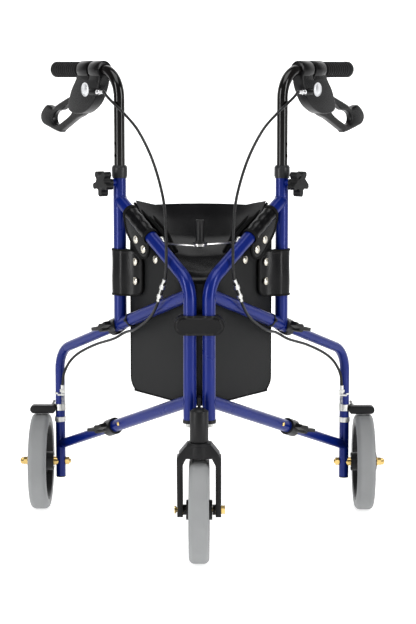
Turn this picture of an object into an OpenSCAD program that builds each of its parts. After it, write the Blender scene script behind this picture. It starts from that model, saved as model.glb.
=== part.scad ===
// Three-wheeled folding walker with a shopping bag, loop brakes and a locking cross bar.
// Each side frame is drawn in its own plane: X outwards from the plane, Y rearwards, Z up,
// with the origin on the axis of its front post. side() then puts it on the walker.

/* [Wheels] */
// Diameter of all three wheels
wheel_d = 180; // [170:1:184]
// Width of a tyre
tyre_w = 34; // [28:0.5:38]
// Radial thickness of a tyre
tyre_t = 17; // [12:0.5:20]
// Diameter of every wheel bolt
axle_d = 8; // [6:0.5:9]
// Distance from a rear leg to the middle of its wheel
wheel_out = 37; // [36:0.5:48]

/* [Frame] */
// Angle of each side frame from straight ahead when the walker is open
half_angle = 36.5; // [31:0.5:40]
// Distance of each front post from the middle
post_x = 16; // [14.5:0.1:18]
// Outer diameter of the frame tubes
tube_d = 22.2; // [21.6:0.1:24]
// Outer diameter of the uprights
upright_d = 22.8; // [22:0.1:24]
// Outer diameter of the arm sockets
socket_d = 21.8; // [21.4:0.1:22]
// Outer diameter of the rear leg tubes
leg_d = 18; // [16:0.1:18.4]
// Wall of the tubes
wall = 1.5; // [1.2:0.1:1.6]
// Radial clearance of tubes that slide in one another
slide_gap = 0.1; // [0.05:0.01:0.1]
// Radial clearance of pins and shafts
pin_gap = 0.05; // [0.02:0.01:0.1]
// Distance from a post to its upright
upright_u = 212.5; // [190:1:240]
// Distance from a post to its rear leg
leg_u = 422; // [405:1:480]
// Height of a post's lower end
post_bottom = 240; // [236:1:246]
// Height at which the diagonal would meet the post's axis
diagonal_z = 470.5; // [465:0.5:480]
// Slope of the diagonal
diagonal_slope = 31; // [28:0.5:33]
// Height at which the upper arm meets the post's axis
upper_z = 452; // [446:1:456]
// Height at which the lower arm meets the post's axis
lower_z = 272; // [266:1:282]
// Downward slope of both arms
arm_slope = 19.6; // [18:0.1:21]
// Height of an upright's upper end
upright_top = 636; // [628:1:660]
// Height of a rear leg's lower end
leg_bottom = 62; // [56:1:74]
// Bend radius of the tubes
bend_r = 50; // [42:1:56]

/* [Handles] */
// Outer diameter of the handle tube
handle_d = 19; // [18.5:0.1:19]
// Height of the handle tube's axis at the grip
handle_z = 824; // [800:1:860]
// Distance from the upright to the end of the grip
grip_end = 210; // [190:1:230]
// Length of the grip
grip_l = 85; // [70:1:90]
// Diameter of the grip
grip_d = 29; // [28:0.5:34]
// Depth of the handle tube in the upright
handle_depth = 150; // [140:1:180]
// Spacing of the height holes
hole_pitch = 21; // [20:1:30]
// Thickness of the brake lever
lever_t = 15; // [12:0.5:18]
// Thickness of each cheek of the brake housing
cheek_t = 4.2; // [3:0.1:5]
// Diameter of the star knob
star_d = 47; // [40:1:52]

/* [Caster] */
// Distance of the caster's stem in front of the posts
stem_ahead = 40; // [38:0.5:46]
// Distance of the front axle behind the stem
trail = 18; // [12:1:26]
// Diameter of the stem's housing
stem_d = 31; // [28:0.5:33]
// Diameter of the stem
stem_pin_d = 12; // [10:0.5:14]
// Height of the stem housing's lower end
stem_z = 211; // [208:1:214]
// Length of the stem housing
stem_l = 58; // [50:1:64]
// Thickness of a fork leg
fork_t = 9.4; // [7:0.1:11]
// Gap between a tyre and a fork leg
fork_gap = 10.5; // [8:0.5:14]

/* [Yoke] */
// Width of the hinge yoke
yoke_w = 84; // [80:1:92]
// Height of the hinge yoke
yoke_h = 33; // [30:0.5:38]
// Depth of the hinge yoke
yoke_t = 36; // [32:1:42]
// Height of the middle of the hinge yoke
yoke_z = 401; // [394:1:408]

/* [Lock bars] */
// Distance of a lock bar's pivot from the post, along the frame
lock_u = 114; // [108:1:122]
// Distance of a lock bar's pivot inside the frame's plane
lock_in = 21; // [20:0.5:23]
// Height of the top of the pivot tab
lock_z = 526; // [524:0.5:529]
// Distance of the middle pivot in front of the outer pivots
lock_fwd = 36; // [32:1:42]
// Width of a lock bar
bar_w = 15; // [13:0.5:18]
// Thickness of a lock bar
bar_t = 2; // [1.5:0.1:2.5]
// Length of the pull handle
pull_l = 40; // [30:1:48]

/* [Bag] */
// Thickness of the bag's walls
bag_t = 3; // [2:0.5:4]
// Height of the bag's bottom
bag_z = 256; // [252:1:266]
// Height of the bag's rear edge
bag_top = 592; // [585:1:605]
// Gap between the bag's panel and the frame's plane
panel_in = 14; // [13:0.5:15]

/* [Hidden] */
RIGHT = -1;
LEFT = 1;
$fn = 48;

wheel_r = wheel_d / 2;
rim_r = wheel_r - tyre_t;
tube_r = tube_d / 2;
upright_r = upright_d / 2;
socket_r = socket_d / 2;
lower_arm_r = leg_d / 2 - 0.3;
leg_r = leg_d / 2;
handle_r = handle_d / 2;
upright_bore_r = handle_r + slide_gap;
socket_bore_r = leg_r + slide_gap;
axle_r = axle_d / 2;
slope_cos = cos(arm_slope);
front_axle_y = trail - stem_ahead;
leg_y = leg_u * cos(half_angle);
// The front and rear wheels stand equally far from the origin: this is where the posts then are.
post_y = -(leg_y + front_axle_y) / 2;

// Arm collars and the snap button
collar_l = 22;
collar_r = socket_r + 4.1;
collar_seat = 10;
upper_socket_end = upright_u + upright_r;
lower_socket_end = upright_u + 28;
upper_insert = 95;
lower_insert = 90;
button_u = lower_socket_end - 35;
button_r = 3.5;
button_proud = 2.4;
button_l = 8;

// Hinge bolts
bolt_r = 4;
bolt_depth = 34;
plate_t = 5.7;
plate_gap = 0.3;
plate_z = post_bottom - plate_gap - plate_t;

// Star knob
star_z = upright_top - 8;
star_bolt_r = 3;
star_boss_r = 7;
star_seat = upright_r + 5;

// Brake housing and lever, measured from the upright
brake_pivot = [94, handle_z - 35];
lever_pin_r = 3;
barrel_r = 4.5;

// Rear brake
brake_pin_y = 24;
brake_pin_z = wheel_d + 14;
brake_pin_r = 3;
pad_gap = 3;
pad_h = 15;
band_z = wheel_d - 9;
band_h = 9;
spring_z = wheel_d + 10;
spring_l = 28;
tab_t = 3;

// Centre line of the left brake cable: sideways, behind the posts, and up
cable_r = 2.5;
CABLE = [[170, 191, 785], [163, 175, 777], [151, 157, 766], [133, 138, 750], [106, 108, 720],
    [80, 78, 670], [62, 49, 610], [57, 33, 560], [56, 26, 520], [58, 25, 476], [71, 40, 433],
    [86, 66, 403], [112, 110, 377], [134, 160, 363], [156, 190, 347], [192, 244, 328],
    [226, 290, 305], [246, 315, 284], [258, 325, 260], [261, 324, 238]];
CABLE_ADJUSTER = 9;
cable_step = 11;

function arm_z(z, u) = z - u * tan(arm_slope);
function diagonal_at(u) = diagonal_z + u * tan(diagonal_slope);

// Place a side frame's own drawing on the walker.
module side(s) {
    mirror([s < 0 ? 1 : 0, 0, 0])
        translate([post_x, post_y, 0])
            rotate([0, 0, -half_angle])
                children();
}

// Place a drawing made in the walker's own directions, with Y measured from the posts.
module half(s) {
    mirror([s < 0 ? 1 : 0, 0, 0])
        translate([0, post_y, 0])
            children();
}

// Turn a drawing at the rear leg so that its X is the walker's own X.
module at_leg(z = 0) {
    translate([0, leg_u, z])
        rotate([0, 0, half_angle])
            children();
}

// A flat outline given as [rearwards, up], thickened outwards, centred on the plane or on x.
module plane_plate(t, x = 0) {
    translate([x - t / 2, 0, 0])
        rotate([90, 0, 90])
            linear_extrude(t)
                children();
}

// A rod along an arm, from u to u + its length.
module along_arm(z, u) {
    translate([0, u, arm_z(z, u)])
        rotate([-90 - arm_slope, 0, 0])
            children();
}

module along_diagonal(u) {
    translate([0, u, diagonal_at(u)])
        rotate([-90 + diagonal_slope, 0, 0])
            children();
}

// A bend runs a little way into the straight tubes at its ends, a hair thinner than they are.
module bend(r, y, z, from, sweep) {
    lap = 1;
    thinner = 0.06;
    translate([0, y, z])
        rotate([90, 0, 90])
            rotate([0, 0, from - lap])
                rotate_extrude(angle = sweep + 2 * lap, $fn = 96)
                    translate([bend_r, 0])
                        circle(r - thinner);
}

module ring(r_out, r_in, h) {
    difference() {
        cylinder(r = r_out, h = h);
        translate([0, 0, -1]) cylinder(r = r_in, h = h + 2);
    }
}

module dome(r, h) {
    intersection() {
        translate([0, 0, h - r * 1.25]) sphere(r * 1.25);
        cylinder(r = r, h = h);
    }
}

module hex(across, h) {
    cylinder(d = across / cos(30), h = h, $fn = 6);
}

// --- side frame weldment -------------------------------------------------

module side_frame(s) {
    turn = 90 - diagonal_slope;
    tangent = bend_r * tan(turn / 2);
    bend_u = tangent * cos(diagonal_slope);
    diagonal_l = (upright_u - bend_u) / cos(diagonal_slope);
    bore_r = tube_r - wall;
    solid_end = 3;
    plug_l = bolt_depth + 6;
    arm_upper_l = upper_socket_end / slope_cos;
    arm_lower_l = lower_socket_end / slope_cos;
    upright_foot = arm_z(upper_z, upright_u);
    color("royalblue") side(s) difference() {
        union() {
            translate([0, 0, post_bottom]) cylinder(r = tube_r, h = diagonal_z - tangent - post_bottom);
            bend(tube_r, bend_r, diagonal_z - tangent, 90 + diagonal_slope, turn);
            along_diagonal(bend_u) cylinder(r = tube_r, h = diagonal_l);
            along_arm(upper_z, 0) cylinder(r = socket_r, h = arm_upper_l);
            along_arm(lower_z, 0) cylinder(r = socket_r, h = arm_lower_l);
            translate([0, upright_u, upright_foot]) cylinder(r = upright_r, h = upright_top - upright_foot);
            translate([upright_r - 1.5, upright_u, star_z]) rotate([0, 90, 0])
                cylinder(r = 6, h = star_seat - upright_r + 1.5);
            lock_tab();
        }
        translate([0, 0, post_bottom + plug_l])
            cylinder(r = bore_r, h = diagonal_z - tangent - post_bottom - plug_l - solid_end);
        along_diagonal(bend_u + solid_end)
            cylinder(r = bore_r, h = diagonal_l - tube_r / cos(diagonal_slope) - 4 * solid_end);
        translate([0, 0, post_bottom - 1]) cylinder(r = bolt_r + pin_gap, h = bolt_depth + 3);
        along_arm(upper_z, tube_r + solid_end) cylinder(r = socket_bore_r, h = arm_upper_l);
        along_arm(lower_z, tube_r + solid_end) cylinder(r = socket_bore_r, h = arm_lower_l);
        translate([0, upright_u, upright_foot + socket_r / slope_cos + solid_end])
            cylinder(r = upright_bore_r, h = upright_top);
        translate([0, upright_u, star_z]) rotate([0, 90, 0])
            cylinder(r = star_bolt_r + pin_gap, h = tube_d);
        along_arm(lower_z, button_u) rotate([0, 90, 0])
            cylinder(r = button_r + pin_gap, h = tube_d);
    }
}

// The ear welded inside the diagonal that carries a lock bar.
module lock_tab() {
    translate([-lock_in, lock_u, lock_z - tab_t]) cylinder(r = bar_w / 2 + 1, h = tab_t);
    translate([-lock_in, lock_u - bar_w / 2, lock_z - tab_t])
        cube([lock_in - tube_r + 4, bar_w, tab_t]);
    translate([-tube_r + 1, lock_u - 6, lock_z - tab_t]) cube([5, 12, diagonal_at(lock_u) - lock_z]);
    translate([-lock_in, lock_u, lock_z - 1]) cylinder(r = 3, h = 2 * bar_t + 7);
}

// --- rear leg frame ------------------------------------------------------

module leg_frame(s) {
    turn = 90 - arm_slope;
    leg_top = arm_z(upper_z, leg_u) - bend_r * tan(turn / 2);
    upper_in = upper_socket_end - upper_insert;
    lower_in = lower_socket_end - lower_insert;
    bend_u = leg_u - bend_r + bend_r * cos(turn);
    upper_l = (bend_u - upper_in) / slope_cos;
    lower_l = (leg_u - lower_in) / slope_cos;
    bore_r = leg_r - wall;
    solid_end = 3;
    color("mediumblue") side(s) difference() {
        union() {
            along_arm(upper_z, upper_in) cylinder(r = leg_r, h = upper_l);
            bend(leg_r, leg_u - bend_r, leg_top, 0, turn);
            translate([0, leg_u, leg_bottom]) cylinder(r = leg_r, h = leg_top - leg_bottom);
            along_arm(lower_z, lower_in) cylinder(r = lower_arm_r, h = lower_l);
        }
        along_arm(upper_z, upper_in - 1) cylinder(r = bore_r, h = upper_l - solid_end);
        translate([0, leg_u, leg_bottom - 1]) cylinder(r = bore_r, h = leg_top - leg_bottom - solid_end);
        along_arm(lower_z, lower_in - 1) cylinder(r = lower_arm_r - wall, h = lower_l - leg_d - solid_end);
        at_leg(wheel_r) translate([-leg_d, 0, 0]) rotate([0, 90, 0]) cylinder(r = axle_r, h = 2 * leg_d);
        along_arm(lower_z, button_u) rotate([0, 90, 0]) cylinder(r = button_r + pin_gap, h = tube_d);
    }
}

module leg_plug(s) {
    color("black") side(s) translate([0, leg_u, leg_bottom]) {
        translate([0, 0, -2]) cylinder(r = leg_r, h = 2);
        ring(leg_r - wall, leg_r - wall - 2, 8);
    }
}

// --- handle --------------------------------------------------------------

module handle_tubes(r, grow) {
    rise = handle_z - bend_r - (upright_top - handle_depth);
    translate([0, upright_u, upright_top - handle_depth - grow]) cylinder(r = r, h = rise + grow);
    bend(r, upright_u + bend_r, handle_z - bend_r, 90, 90);
    translate([0, upright_u + bend_r, handle_z]) rotate([-90, 0, 0])
        cylinder(r = r, h = grip_end - bend_r - 3 + grow);
}

module handle_tube(s) {
    color("black") side(s) difference() {
        handle_tubes(handle_r, 0);
        handle_tubes(handle_r - wall, 1);
        for (i = [0 : 5])
            translate([0, upright_u, upright_top + 60 - i * hole_pitch])
                rotate([0, 90, 0]) cylinder(r = 3.2, h = handle_d);
    }
}

module grip(s) {
    groove_n = 9;
    color("black") side(s)
        translate([0, upright_u + grip_end - grip_l, handle_z]) rotate([-90, 0, 0]) {
            difference() {
                union() {
                    cylinder(d = grip_d - 3, h = grip_l - 4);
                    cylinder(d = grip_d, h = 4);
                    translate([0, 0, grip_l - 12]) cylinder(d = grip_d, h = 12);
                    for (i = [0 : groove_n - 1])
                        translate([0, 0, 8 + i * 7.2]) cylinder(d = grip_d - 1, h = 4.2);
                }
                translate([0, 0, -1]) cylinder(r = handle_r, h = grip_l - 3 + 1);
            }
        }
}

module height_collar(s) {
    color("dimgray") side(s) translate([0, upright_u, upright_top])
        difference() {
            union() {
                cylinder(r = upright_r + 1.6, h = 3);
                translate([0, 0, 3]) cylinder(r = upright_r + 2.3, h = 15);
                translate([0, 0, 18]) cylinder(r1 = upright_r + 2.3, r2 = upright_r + 0.4, h = 4);
            }
            translate([0, 0, -1]) cylinder(r = upright_bore_r, h = 30);
        }
}

module star_knob(s) {
    lobes = 5;
    color("black") side(s) translate([0, upright_u, star_z]) rotate([0, 90, 0]) {
        translate([0, 0, handle_r + slide_gap]) cylinder(r = star_bolt_r, h = 10);
        translate([0, 0, star_seat + 0.3]) cylinder(r = star_boss_r, h = 13);
        translate([0, 0, star_seat + 11]) {
            cylinder(r = star_d / 2 - 10, h = 14);
            for (i = [0 : lobes - 1])
                rotate([0, 0, i * 360 / lobes]) {
                    translate([star_d / 2 - 5.5, 0, 0]) cylinder(r = 5.5, h = 14);
                    translate([0, -5.5, 0]) cube([star_d / 2 - 5.5, 11, 14]);
                }
        }
    }
}

// --- arm collars, wing knobs and snap button ------------------------------

module arm_collar(z, u) {
    along_arm(z, u - collar_seat * slope_cos) difference() {
        union() {
            cylinder(r = collar_r, h = collar_l);
            translate([0, 0, collar_seat + 6]) rotate([0, 90, 0]) cylinder(r = 7, h = collar_r + 4);
        }
        translate([0, 0, -1]) cylinder(r = socket_r, h = collar_seat + 1);
        cylinder(r = leg_r, h = collar_l + 1);
        translate([0, 0, collar_seat + 6]) rotate([0, 90, 0])
            cylinder(r = star_bolt_r + pin_gap, h = collar_r + 5);
    }
}

// The upper collar is notched round the upright that it butts against.
module arm_collars(s) {
    notch_h = 90;
    color("dimgray") side(s) {
        difference() {
            arm_collar(upper_z, upper_socket_end);
            translate([0, upright_u, arm_z(upper_z, upright_u) - notch_h / 2])
                cylinder(r = upright_r + pin_gap, h = notch_h);
        }
        arm_collar(lower_z, lower_socket_end);
    }
}

module wing_knob(s, z, u) {
    color("black") side(s)
        along_arm(z, u) translate([0, 0, 6]) rotate([0, 90, 0]) {
            translate([0, 0, leg_r + 0.1]) cylinder(r = star_bolt_r, h = 12);
            translate([0, 0, collar_r + 4.3]) cylinder(r = 7.5, h = 13);
            for (a = [-8, 188])
                rotate([0, 0, a])
                    translate([0, -4, collar_r + 8]) rotate([90, 0, 90]) linear_extrude(24)
                        polygon([[0, 0], [8, 0], [7, 13], [1, 13]]);
        }
}

module snap_button(s) {
    color("gold") side(s) along_arm(lower_z, button_u) rotate([0, 90, 0])
        translate([0, 0, socket_r + button_proud - button_l]) dome(button_r, button_l);
}

// --- hand brake ----------------------------------------------------------

module brake_housing(s) {
    slot = lever_t + 1;
    block = lever_t + 2 * cheek_t;
    ring_d = grip_d + 3;
    color("black") side(s) translate([0, upright_u, handle_z]) difference() {
        union() {
            translate([0, 46, 0]) rotate([-90, 0, 0]) cylinder(d = ring_d, h = 33);
            translate([0, 84, 0]) rotate([-90, 0, 0]) cylinder(d = ring_d, h = 34);
            plane_plate(block) polygon([[50, 0], [46, -12], [52, -33], [74, -62], [114, -79],
                [152, -72], [145, -41], [127, -18], [117, 0], [88, 0], [82, -16], [76, 0]]);
            translate([10, 74, -39]) rotate([90, 0, 0]) cylinder(r = barrel_r, h = 40);
        }
        translate([0, 40, 0]) rotate([-90, 0, 0]) cylinder(r = handle_r, h = 90);
        plane_plate(slot) polygon([[80, -90], [160, -90], [160, -19], [80, -19]]);
        translate([-block, brake_pivot[0], brake_pivot[1] - handle_z]) rotate([0, 90, 0])
            cylinder(r = lever_pin_r, h = 2 * block);
    }
}

module brake_lever(s) {
    color("black") side(s) translate([0, upright_u, handle_z]) {
        plane_plate(lever_t) difference() {
            polygon([[140, -43], [170, -53], [193, -61], [206, -66], [214, -71], [226, -67], [237, -65],
                [248, -71], [257, -80], [259, -90], [252, -99], [238, -104], [195, -114], [184, -110],
                [140, -90], [112, -80], [92, -64], [84, -42], [86, -30], [94, -25], [103, -28]]);
            polygon([[149, -58], [168, -64], [184, -73], [199, -75], [211, -80], [216, -86], [216, -93],
                [211, -99], [200, -101], [190, -98], [150, -78]]);
        }
        translate([-lever_t / 2 - cheek_t, brake_pivot[0], brake_pivot[1] - handle_z])
            rotate([0, 90, 0]) cylinder(r = lever_pin_r - pin_gap, h = lever_t + 2 * cheek_t);
    }
}

// --- brake cable ---------------------------------------------------------

// A smooth curve through the route's points.
function curve_point(p, i, t) =
    let (a = p[max(i - 1, 0)], b = p[i], c = p[i + 1], d = p[min(i + 2, len(p) - 1)])
    0.5 * (2 * b + (c - a) * t + (2 * a - 5 * b + 4 * c - d) * t * t
        + (3 * b - a - 3 * c + d) * t * t * t);
function curve(p) = concat([for (i = [0 : len(p) - 2])
    let (n = max(1, round(norm(p[i + 1] - p[i]) / cable_step)))
    for (k = [0 : n - 1]) curve_point(p, i, k / n)], [p[len(p) - 1]]);
function unit(v) = v / norm(v);
function tangents(p) = [for (i = [0 : len(p) - 1])
    unit(p[min(i + 1, len(p) - 1)] - p[max(i - 1, 0)])];

module swept_tube(route, r, sides) {
    p = curve(route);
    n = len(p);
    t = tangents(p);
    up = [0.3, -0.9, 0.1];
    side_of = [for (i = [0 : n - 1]) unit(cross(t[i], up))];
    rings = [for (i = [0 : n - 1]) for (k = [0 : sides - 1])
        p[i] + r * (cos(360 * k / sides) * side_of[i]
            + sin(360 * k / sides) * cross(t[i], side_of[i]))];
    walls = [for (i = [0 : n - 2]) for (k = [0 : sides - 1])
        let (m = (k + 1) % sides)
        each [[i * sides + k, (i + 1) * sides + m, i * sides + m],
            [i * sides + k, (i + 1) * sides + k, (i + 1) * sides + m]]];
    first = [for (k = [1 : sides - 2]) [0, k, k + 1]];
    last = [for (k = [1 : sides - 2]) [(n - 1) * sides, (n - 1) * sides + k + 1, (n - 1) * sides + k]];
    polyhedron(points = rings, faces = concat(first, walls, last));
}

module cable(s) {
    color("black") half(s) swept_tube(CABLE, cable_r, 8);
}

// A rod between two points.
module rod(a, b, r, from = 0, to = 1) {
    d = b - a;
    translate(a) rotate([0, acos(d[2] / norm(d)), atan2(d[1], d[0])])
        translate([0, 0, from * norm(d)]) cylinder(r = r, h = (to - from) * norm(d));
}

module cable_adjusters(s) {
    a = CABLE[CABLE_ADJUSTER];
    b = CABLE[CABLE_ADJUSTER + 1];
    foot = CABLE[len(CABLE) - 1];
    color("silver") half(s) {
        rod(a, b, 3.4, 0.04, 0.94);
        rod(a, b, 5, 0.3, 0.42);
        rod(a, b, 5, 0.66, 0.78);
        translate([foot[0], foot[1], foot[2] - 16]) cylinder(r = 3.4, h = 16);
        translate([foot[0], foot[1], foot[2] - 13]) hex(9, 5);
    }
}

// --- rear brake ----------------------------------------------------------

module brake_bracket(s) {
    foot = CABLE[len(CABLE) - 1];
    color("silver") side(s) at_leg() {
        translate([0, 0, band_z - band_h / 2]) ring(leg_r + 1.5, leg_r, band_h);
        translate([-3, leg_r, band_z - band_h / 2]) cube([6, 6, band_h]);
        translate([0, 0, foot[2] - 19]) {
            ring(leg_r + 1.5, leg_r, 3);
            difference() {
                translate([-11, -leg_r - 13, 0]) cube([14, 9, 3]);
                translate([0, 0, -1]) cylinder(r = leg_r, h = 5);
            }
            translate([-4, -leg_r - 5, 0]) cube([7, 4.5, 3]);
        }
        translate([0, 0, brake_pin_z - 6]) difference() {
            union() {
                ring(leg_r + 1.5, leg_r, 12);
                translate([leg_r, 0, 0]) cube([2.5, brake_pin_y + 7, 12]);
            }
            translate([0, 0, -1]) cylinder(r = leg_r, h = 14);
            translate([0, brake_pin_y, 6]) rotate([0, 90, 0]) cylinder(r = brake_pin_r, h = 30);
        }
        translate([leg_r - 4, brake_pin_y, brake_pin_z]) rotate([0, 90, 0]) {
            cylinder(r = 6, h = 4);
            cylinder(r = brake_pin_r, h = 14);
        }
    }
}

module brake_arm(s) {
    pad_z = wheel_d + pad_gap;
    cheek_x = leg_r + 3;
    cheek = 3.5;
    arm_clear = 4;
    color("black") side(s) at_leg() difference() {
        union() {
            translate([cheek_x, 0, 0]) rotate([90, 0, 90]) linear_extrude(cheek)
                polygon([[-12, pad_z], [brake_pin_y, brake_pin_z - 8], [brake_pin_y + 8, brake_pin_z - 4],
                    [brake_pin_y + 8, brake_pin_z + 5], [brake_pin_y, brake_pin_z + 8],
                    [-12, pad_z + pad_h]]);
            translate([cheek_x + pad_h / 2 - 4, 4, pad_z + pad_h / 2]) rotate([90, 0, 0]) {
                linear_extrude(16) hull() {
                    circle(pad_h / 2);
                    translate([wheel_out - cheek_x + 8, 0]) circle(pad_h / 2);
                }
            }
        }
        translate([0, brake_pin_y, brake_pin_z]) rotate([0, 90, 0])
            cylinder(r = brake_pin_r + pin_gap, h = 40);
        cylinder(r = leg_r + arm_clear, h = wheel_d * 2);
    }
}

module brake_spring(s) {
    coils = 9;
    pitch = spring_l / coils;
    color("silver") side(s) at_leg() translate([-7, -leg_r - 7, spring_z])
        for (i = [0 : coils - 1])
            translate([0, 0, i * pitch]) {
                ring(3.4, 2.2, pitch * 0.62);
                ring(2.9, 2.2, pitch);
            }
}

// --- wheels --------------------------------------------------------------

// All wheel pieces turn about X, centred on the wheel's middle.
module turned() {
    rotate([0, 90, 0]) rotate_extrude($fn = 96) children();
}

module tyre_shape() {
    half_w = tyre_w / 2;
    shoulder = 9;
    turned() difference() {
        union() {
            translate([wheel_r - shoulder, -half_w + shoulder]) circle(shoulder);
            translate([wheel_r - shoulder, half_w - shoulder]) circle(shoulder);
            translate([rim_r, -half_w + 1]) square([tyre_t - shoulder, tyre_w - 2]);
            translate([wheel_r - shoulder, -half_w + shoulder]) square([shoulder, tyre_w - 2 * shoulder]);
        }
        translate([rim_r - shoulder, -half_w]) square([shoulder, tyre_w]);
    }
}

hub_half = 24;
bearing_r = 11;
bearing_w = 7;

module hub_shape(half_w) {
    spokes = 6;
    rim_w = tyre_w - 3;
    difference() {
        union() {
            turned() translate([rim_r - 5, -rim_w / 2]) square([5, rim_w]);
            turned() translate([axle_r + 1, -half_w]) square([16 - axle_r, 2 * half_w]);
            rotate([0, 90, 0]) for (i = [0 : spokes - 1])
                rotate([0, 0, i * 360 / spokes]) translate([12, -5, -6]) cube([rim_r - 16, 10, 12]);
            turned() translate([12, -2]) square([rim_r - 15, 4]);
        }
        translate([-half_w - 1, 0, 0]) rotate([0, 90, 0]) cylinder(r = bearing_r, h = bearing_w + 1);
        translate([half_w - bearing_w, 0, 0]) rotate([0, 90, 0]) cylinder(r = bearing_r, h = bearing_w + 1);
        translate([-half_w, 0, 0]) rotate([0, 90, 0]) cylinder(r = axle_r + 2.5, h = 2 * half_w);
    }
}

module bearings_shape(half_w) {
    for (x = [-half_w, half_w - bearing_w])
        translate([x, 0, 0]) rotate([0, 90, 0]) ring(bearing_r, axle_r + pin_gap, bearing_w);
}

module tyre(s) {
    color("darkgray") side(s) at_leg(wheel_r) translate([wheel_out, 0, 0]) tyre_shape();
}

module hub(s) {
    color("dimgray") side(s) at_leg(wheel_r) translate([wheel_out, 0, 0]) hub_shape(hub_half);
}

module wheel_bearings(s) {
    color("silver") side(s) at_leg(wheel_r) translate([wheel_out, 0, 0]) bearings_shape(hub_half);
}

module axle(s) {
    hub_in = wheel_out - hub_half;
    hub_out = wheel_out + hub_half;
    color("goldenrod") side(s) at_leg(wheel_r) rotate([0, 90, 0]) {
        translate([0, 0, -leg_r - 10]) cylinder(r = axle_r, h = leg_r + 10 + hub_out + 14);
        translate([0, 0, -leg_r - 7]) difference() {
            hex(13, 7);
            translate([0, 0, leg_r + 7]) rotate([0, 90, 0]) cylinder(r = leg_r, h = 40, center = true);
        }
        difference() {
            cylinder(r = 8, h = hub_in - 0.3);
            translate([-40, 0, 0]) rotate([0, 90, 0]) cylinder(r = leg_r, h = 80);
        }
        translate([0, 0, hub_out + 0.3]) ring(8.5, axle_r, 1.6);
        translate([0, 0, hub_out + 1.9]) hex(13, 7);
        translate([0, 0, hub_out + 8.9]) dome(6.4, 7);
    }
}

// --- caster --------------------------------------------------------------

module at_stem() {
    translate([0, post_y - stem_ahead, 0]) children();
}

module caster_bracket() {
    plate_r = post_x + tube_r + 2;
    color("black") difference() {
        union() {
            at_stem() translate([0, 0, stem_z]) {
                cylinder(d = stem_d, h = stem_l - 6);
                translate([0, 0, stem_l - 6]) dome(stem_d / 2, 6);
            }
            translate([0, post_y, plate_z]) linear_extrude(plate_t) union() {
                translate([-post_x, 0]) circle(tube_r + 1);
                translate([post_x, 0]) circle(tube_r + 1);
                translate([-post_x, -tube_r - 1]) square([2 * post_x, 2 * tube_r + 2]);
                translate([-stem_d / 2 + 2, -stem_ahead]) square([stem_d - 4, stem_ahead]);
            }
            translate([-2.5, post_y - stem_ahead, plate_z]) cube([5, stem_ahead - 16, 50]);
        }
        at_stem() translate([0, 0, stem_z - 1])
            cylinder(r = stem_pin_d / 2 + pin_gap, h = stem_l - 8);
        for (x = [-post_x, post_x])
            translate([x, post_y, plate_z - 1]) cylinder(r = bolt_r, h = plate_t + 2);
    }
}

module hinge_yoke() {
    end_r = yoke_h / 2;
    bevel = 5;
    color("black") difference() {
        union() {
            for (slice = [[yoke_t, bevel], [yoke_t - 2 * bevel, 0]])
                translate([0, post_y + slice[0] / 2, yoke_z]) rotate([90, 0, 0]) linear_extrude(slice[0])
                    union() {
                        for (x = [-1, 1])
                            translate([x * (yoke_w / 2 - end_r), 0]) circle(end_r - slice[1]);
                        square([yoke_w - 2 * end_r, yoke_h - 2 * slice[1]], center = true);
                    }
            for (x = [-1, 1])
                translate([x * post_x, post_y, yoke_z - end_r]) cylinder(r = tube_r + 4, h = yoke_h);
        }
        for (x = [-1, 1])
            translate([x * post_x, post_y, yoke_z - yoke_h]) cylinder(r = tube_r + pin_gap, h = 2 * yoke_h);
    }
}

module hinge_bolts() {
    color("silver") for (x = [-post_x, post_x])
        translate([x, post_y, 0]) {
            translate([0, 0, plate_z]) cylinder(r = bolt_r, h = plate_t + plate_gap + bolt_depth);
            translate([0, 0, plate_z - 6.5]) hex(13, 6.5);
        }
}

module fork() {
    inner = tyre_w / 2 + fork_gap;
    outer = inner + fork_t;
    crown = wheel_d + 5;
    arch = wheel_d + 18;
    color("dimgray") difference() {
        union() {
            at_stem() translate([0, 0, stem_z - 7]) cylinder(r = 20, h = 6);
            at_stem() translate([0, 0, crown]) cylinder(r = 21, h = stem_z - crown - 7);
            at_stem() translate([0, 0, stem_z - 1]) cylinder(r = 13, h = 0.7);
            at_stem() translate([0, 0, stem_z - 7]) cylinder(r = stem_pin_d / 2, h = stem_l - 4);
            translate([0, post_y - stem_ahead + 18, 0]) rotate([90, 0, 0]) linear_extrude(36)
                polygon([[-outer, crown - 12], [-outer + 3, crown + 6], [-20, stem_z - 3],
                    [20, stem_z - 3], [outer - 3, crown + 6], [outer, crown - 12], [inner, crown - 12],
                    [inner - 6, crown], [-inner + 6, crown], [-inner, crown - 12]]);
            for (x = [-outer, inner])
                translate([x, post_y - stem_ahead, 0]) rotate([90, 0, 90]) linear_extrude(fork_t)
                    polygon([[-17, arch - 12], [-18, crown - 12], [trail - 12, wheel_r - 4],
                        [trail - 8, wheel_r - 11], [trail, wheel_r - 13], [trail + 8, wheel_r - 11],
                        [trail + 12, wheel_r - 4], [trail + 13, wheel_r + 6], [18, crown - 12],
                        [17, arch - 12]]);
        }
        translate([-80, post_y + front_axle_y, wheel_r]) rotate([0, 90, 0]) cylinder(r = axle_r, h = 160);
    }
}

module at_front_wheel() {
    translate([0, post_y + front_axle_y, wheel_r]) children();
}

front_half = 22;

module front_tyre() {
    color("darkgray") at_front_wheel() tyre_shape();
}

module front_hub() {
    color("dimgray") at_front_wheel() hub_shape(front_half);
}

module front_bearings() {
    color("silver") at_front_wheel() bearings_shape(front_half);
}

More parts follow.
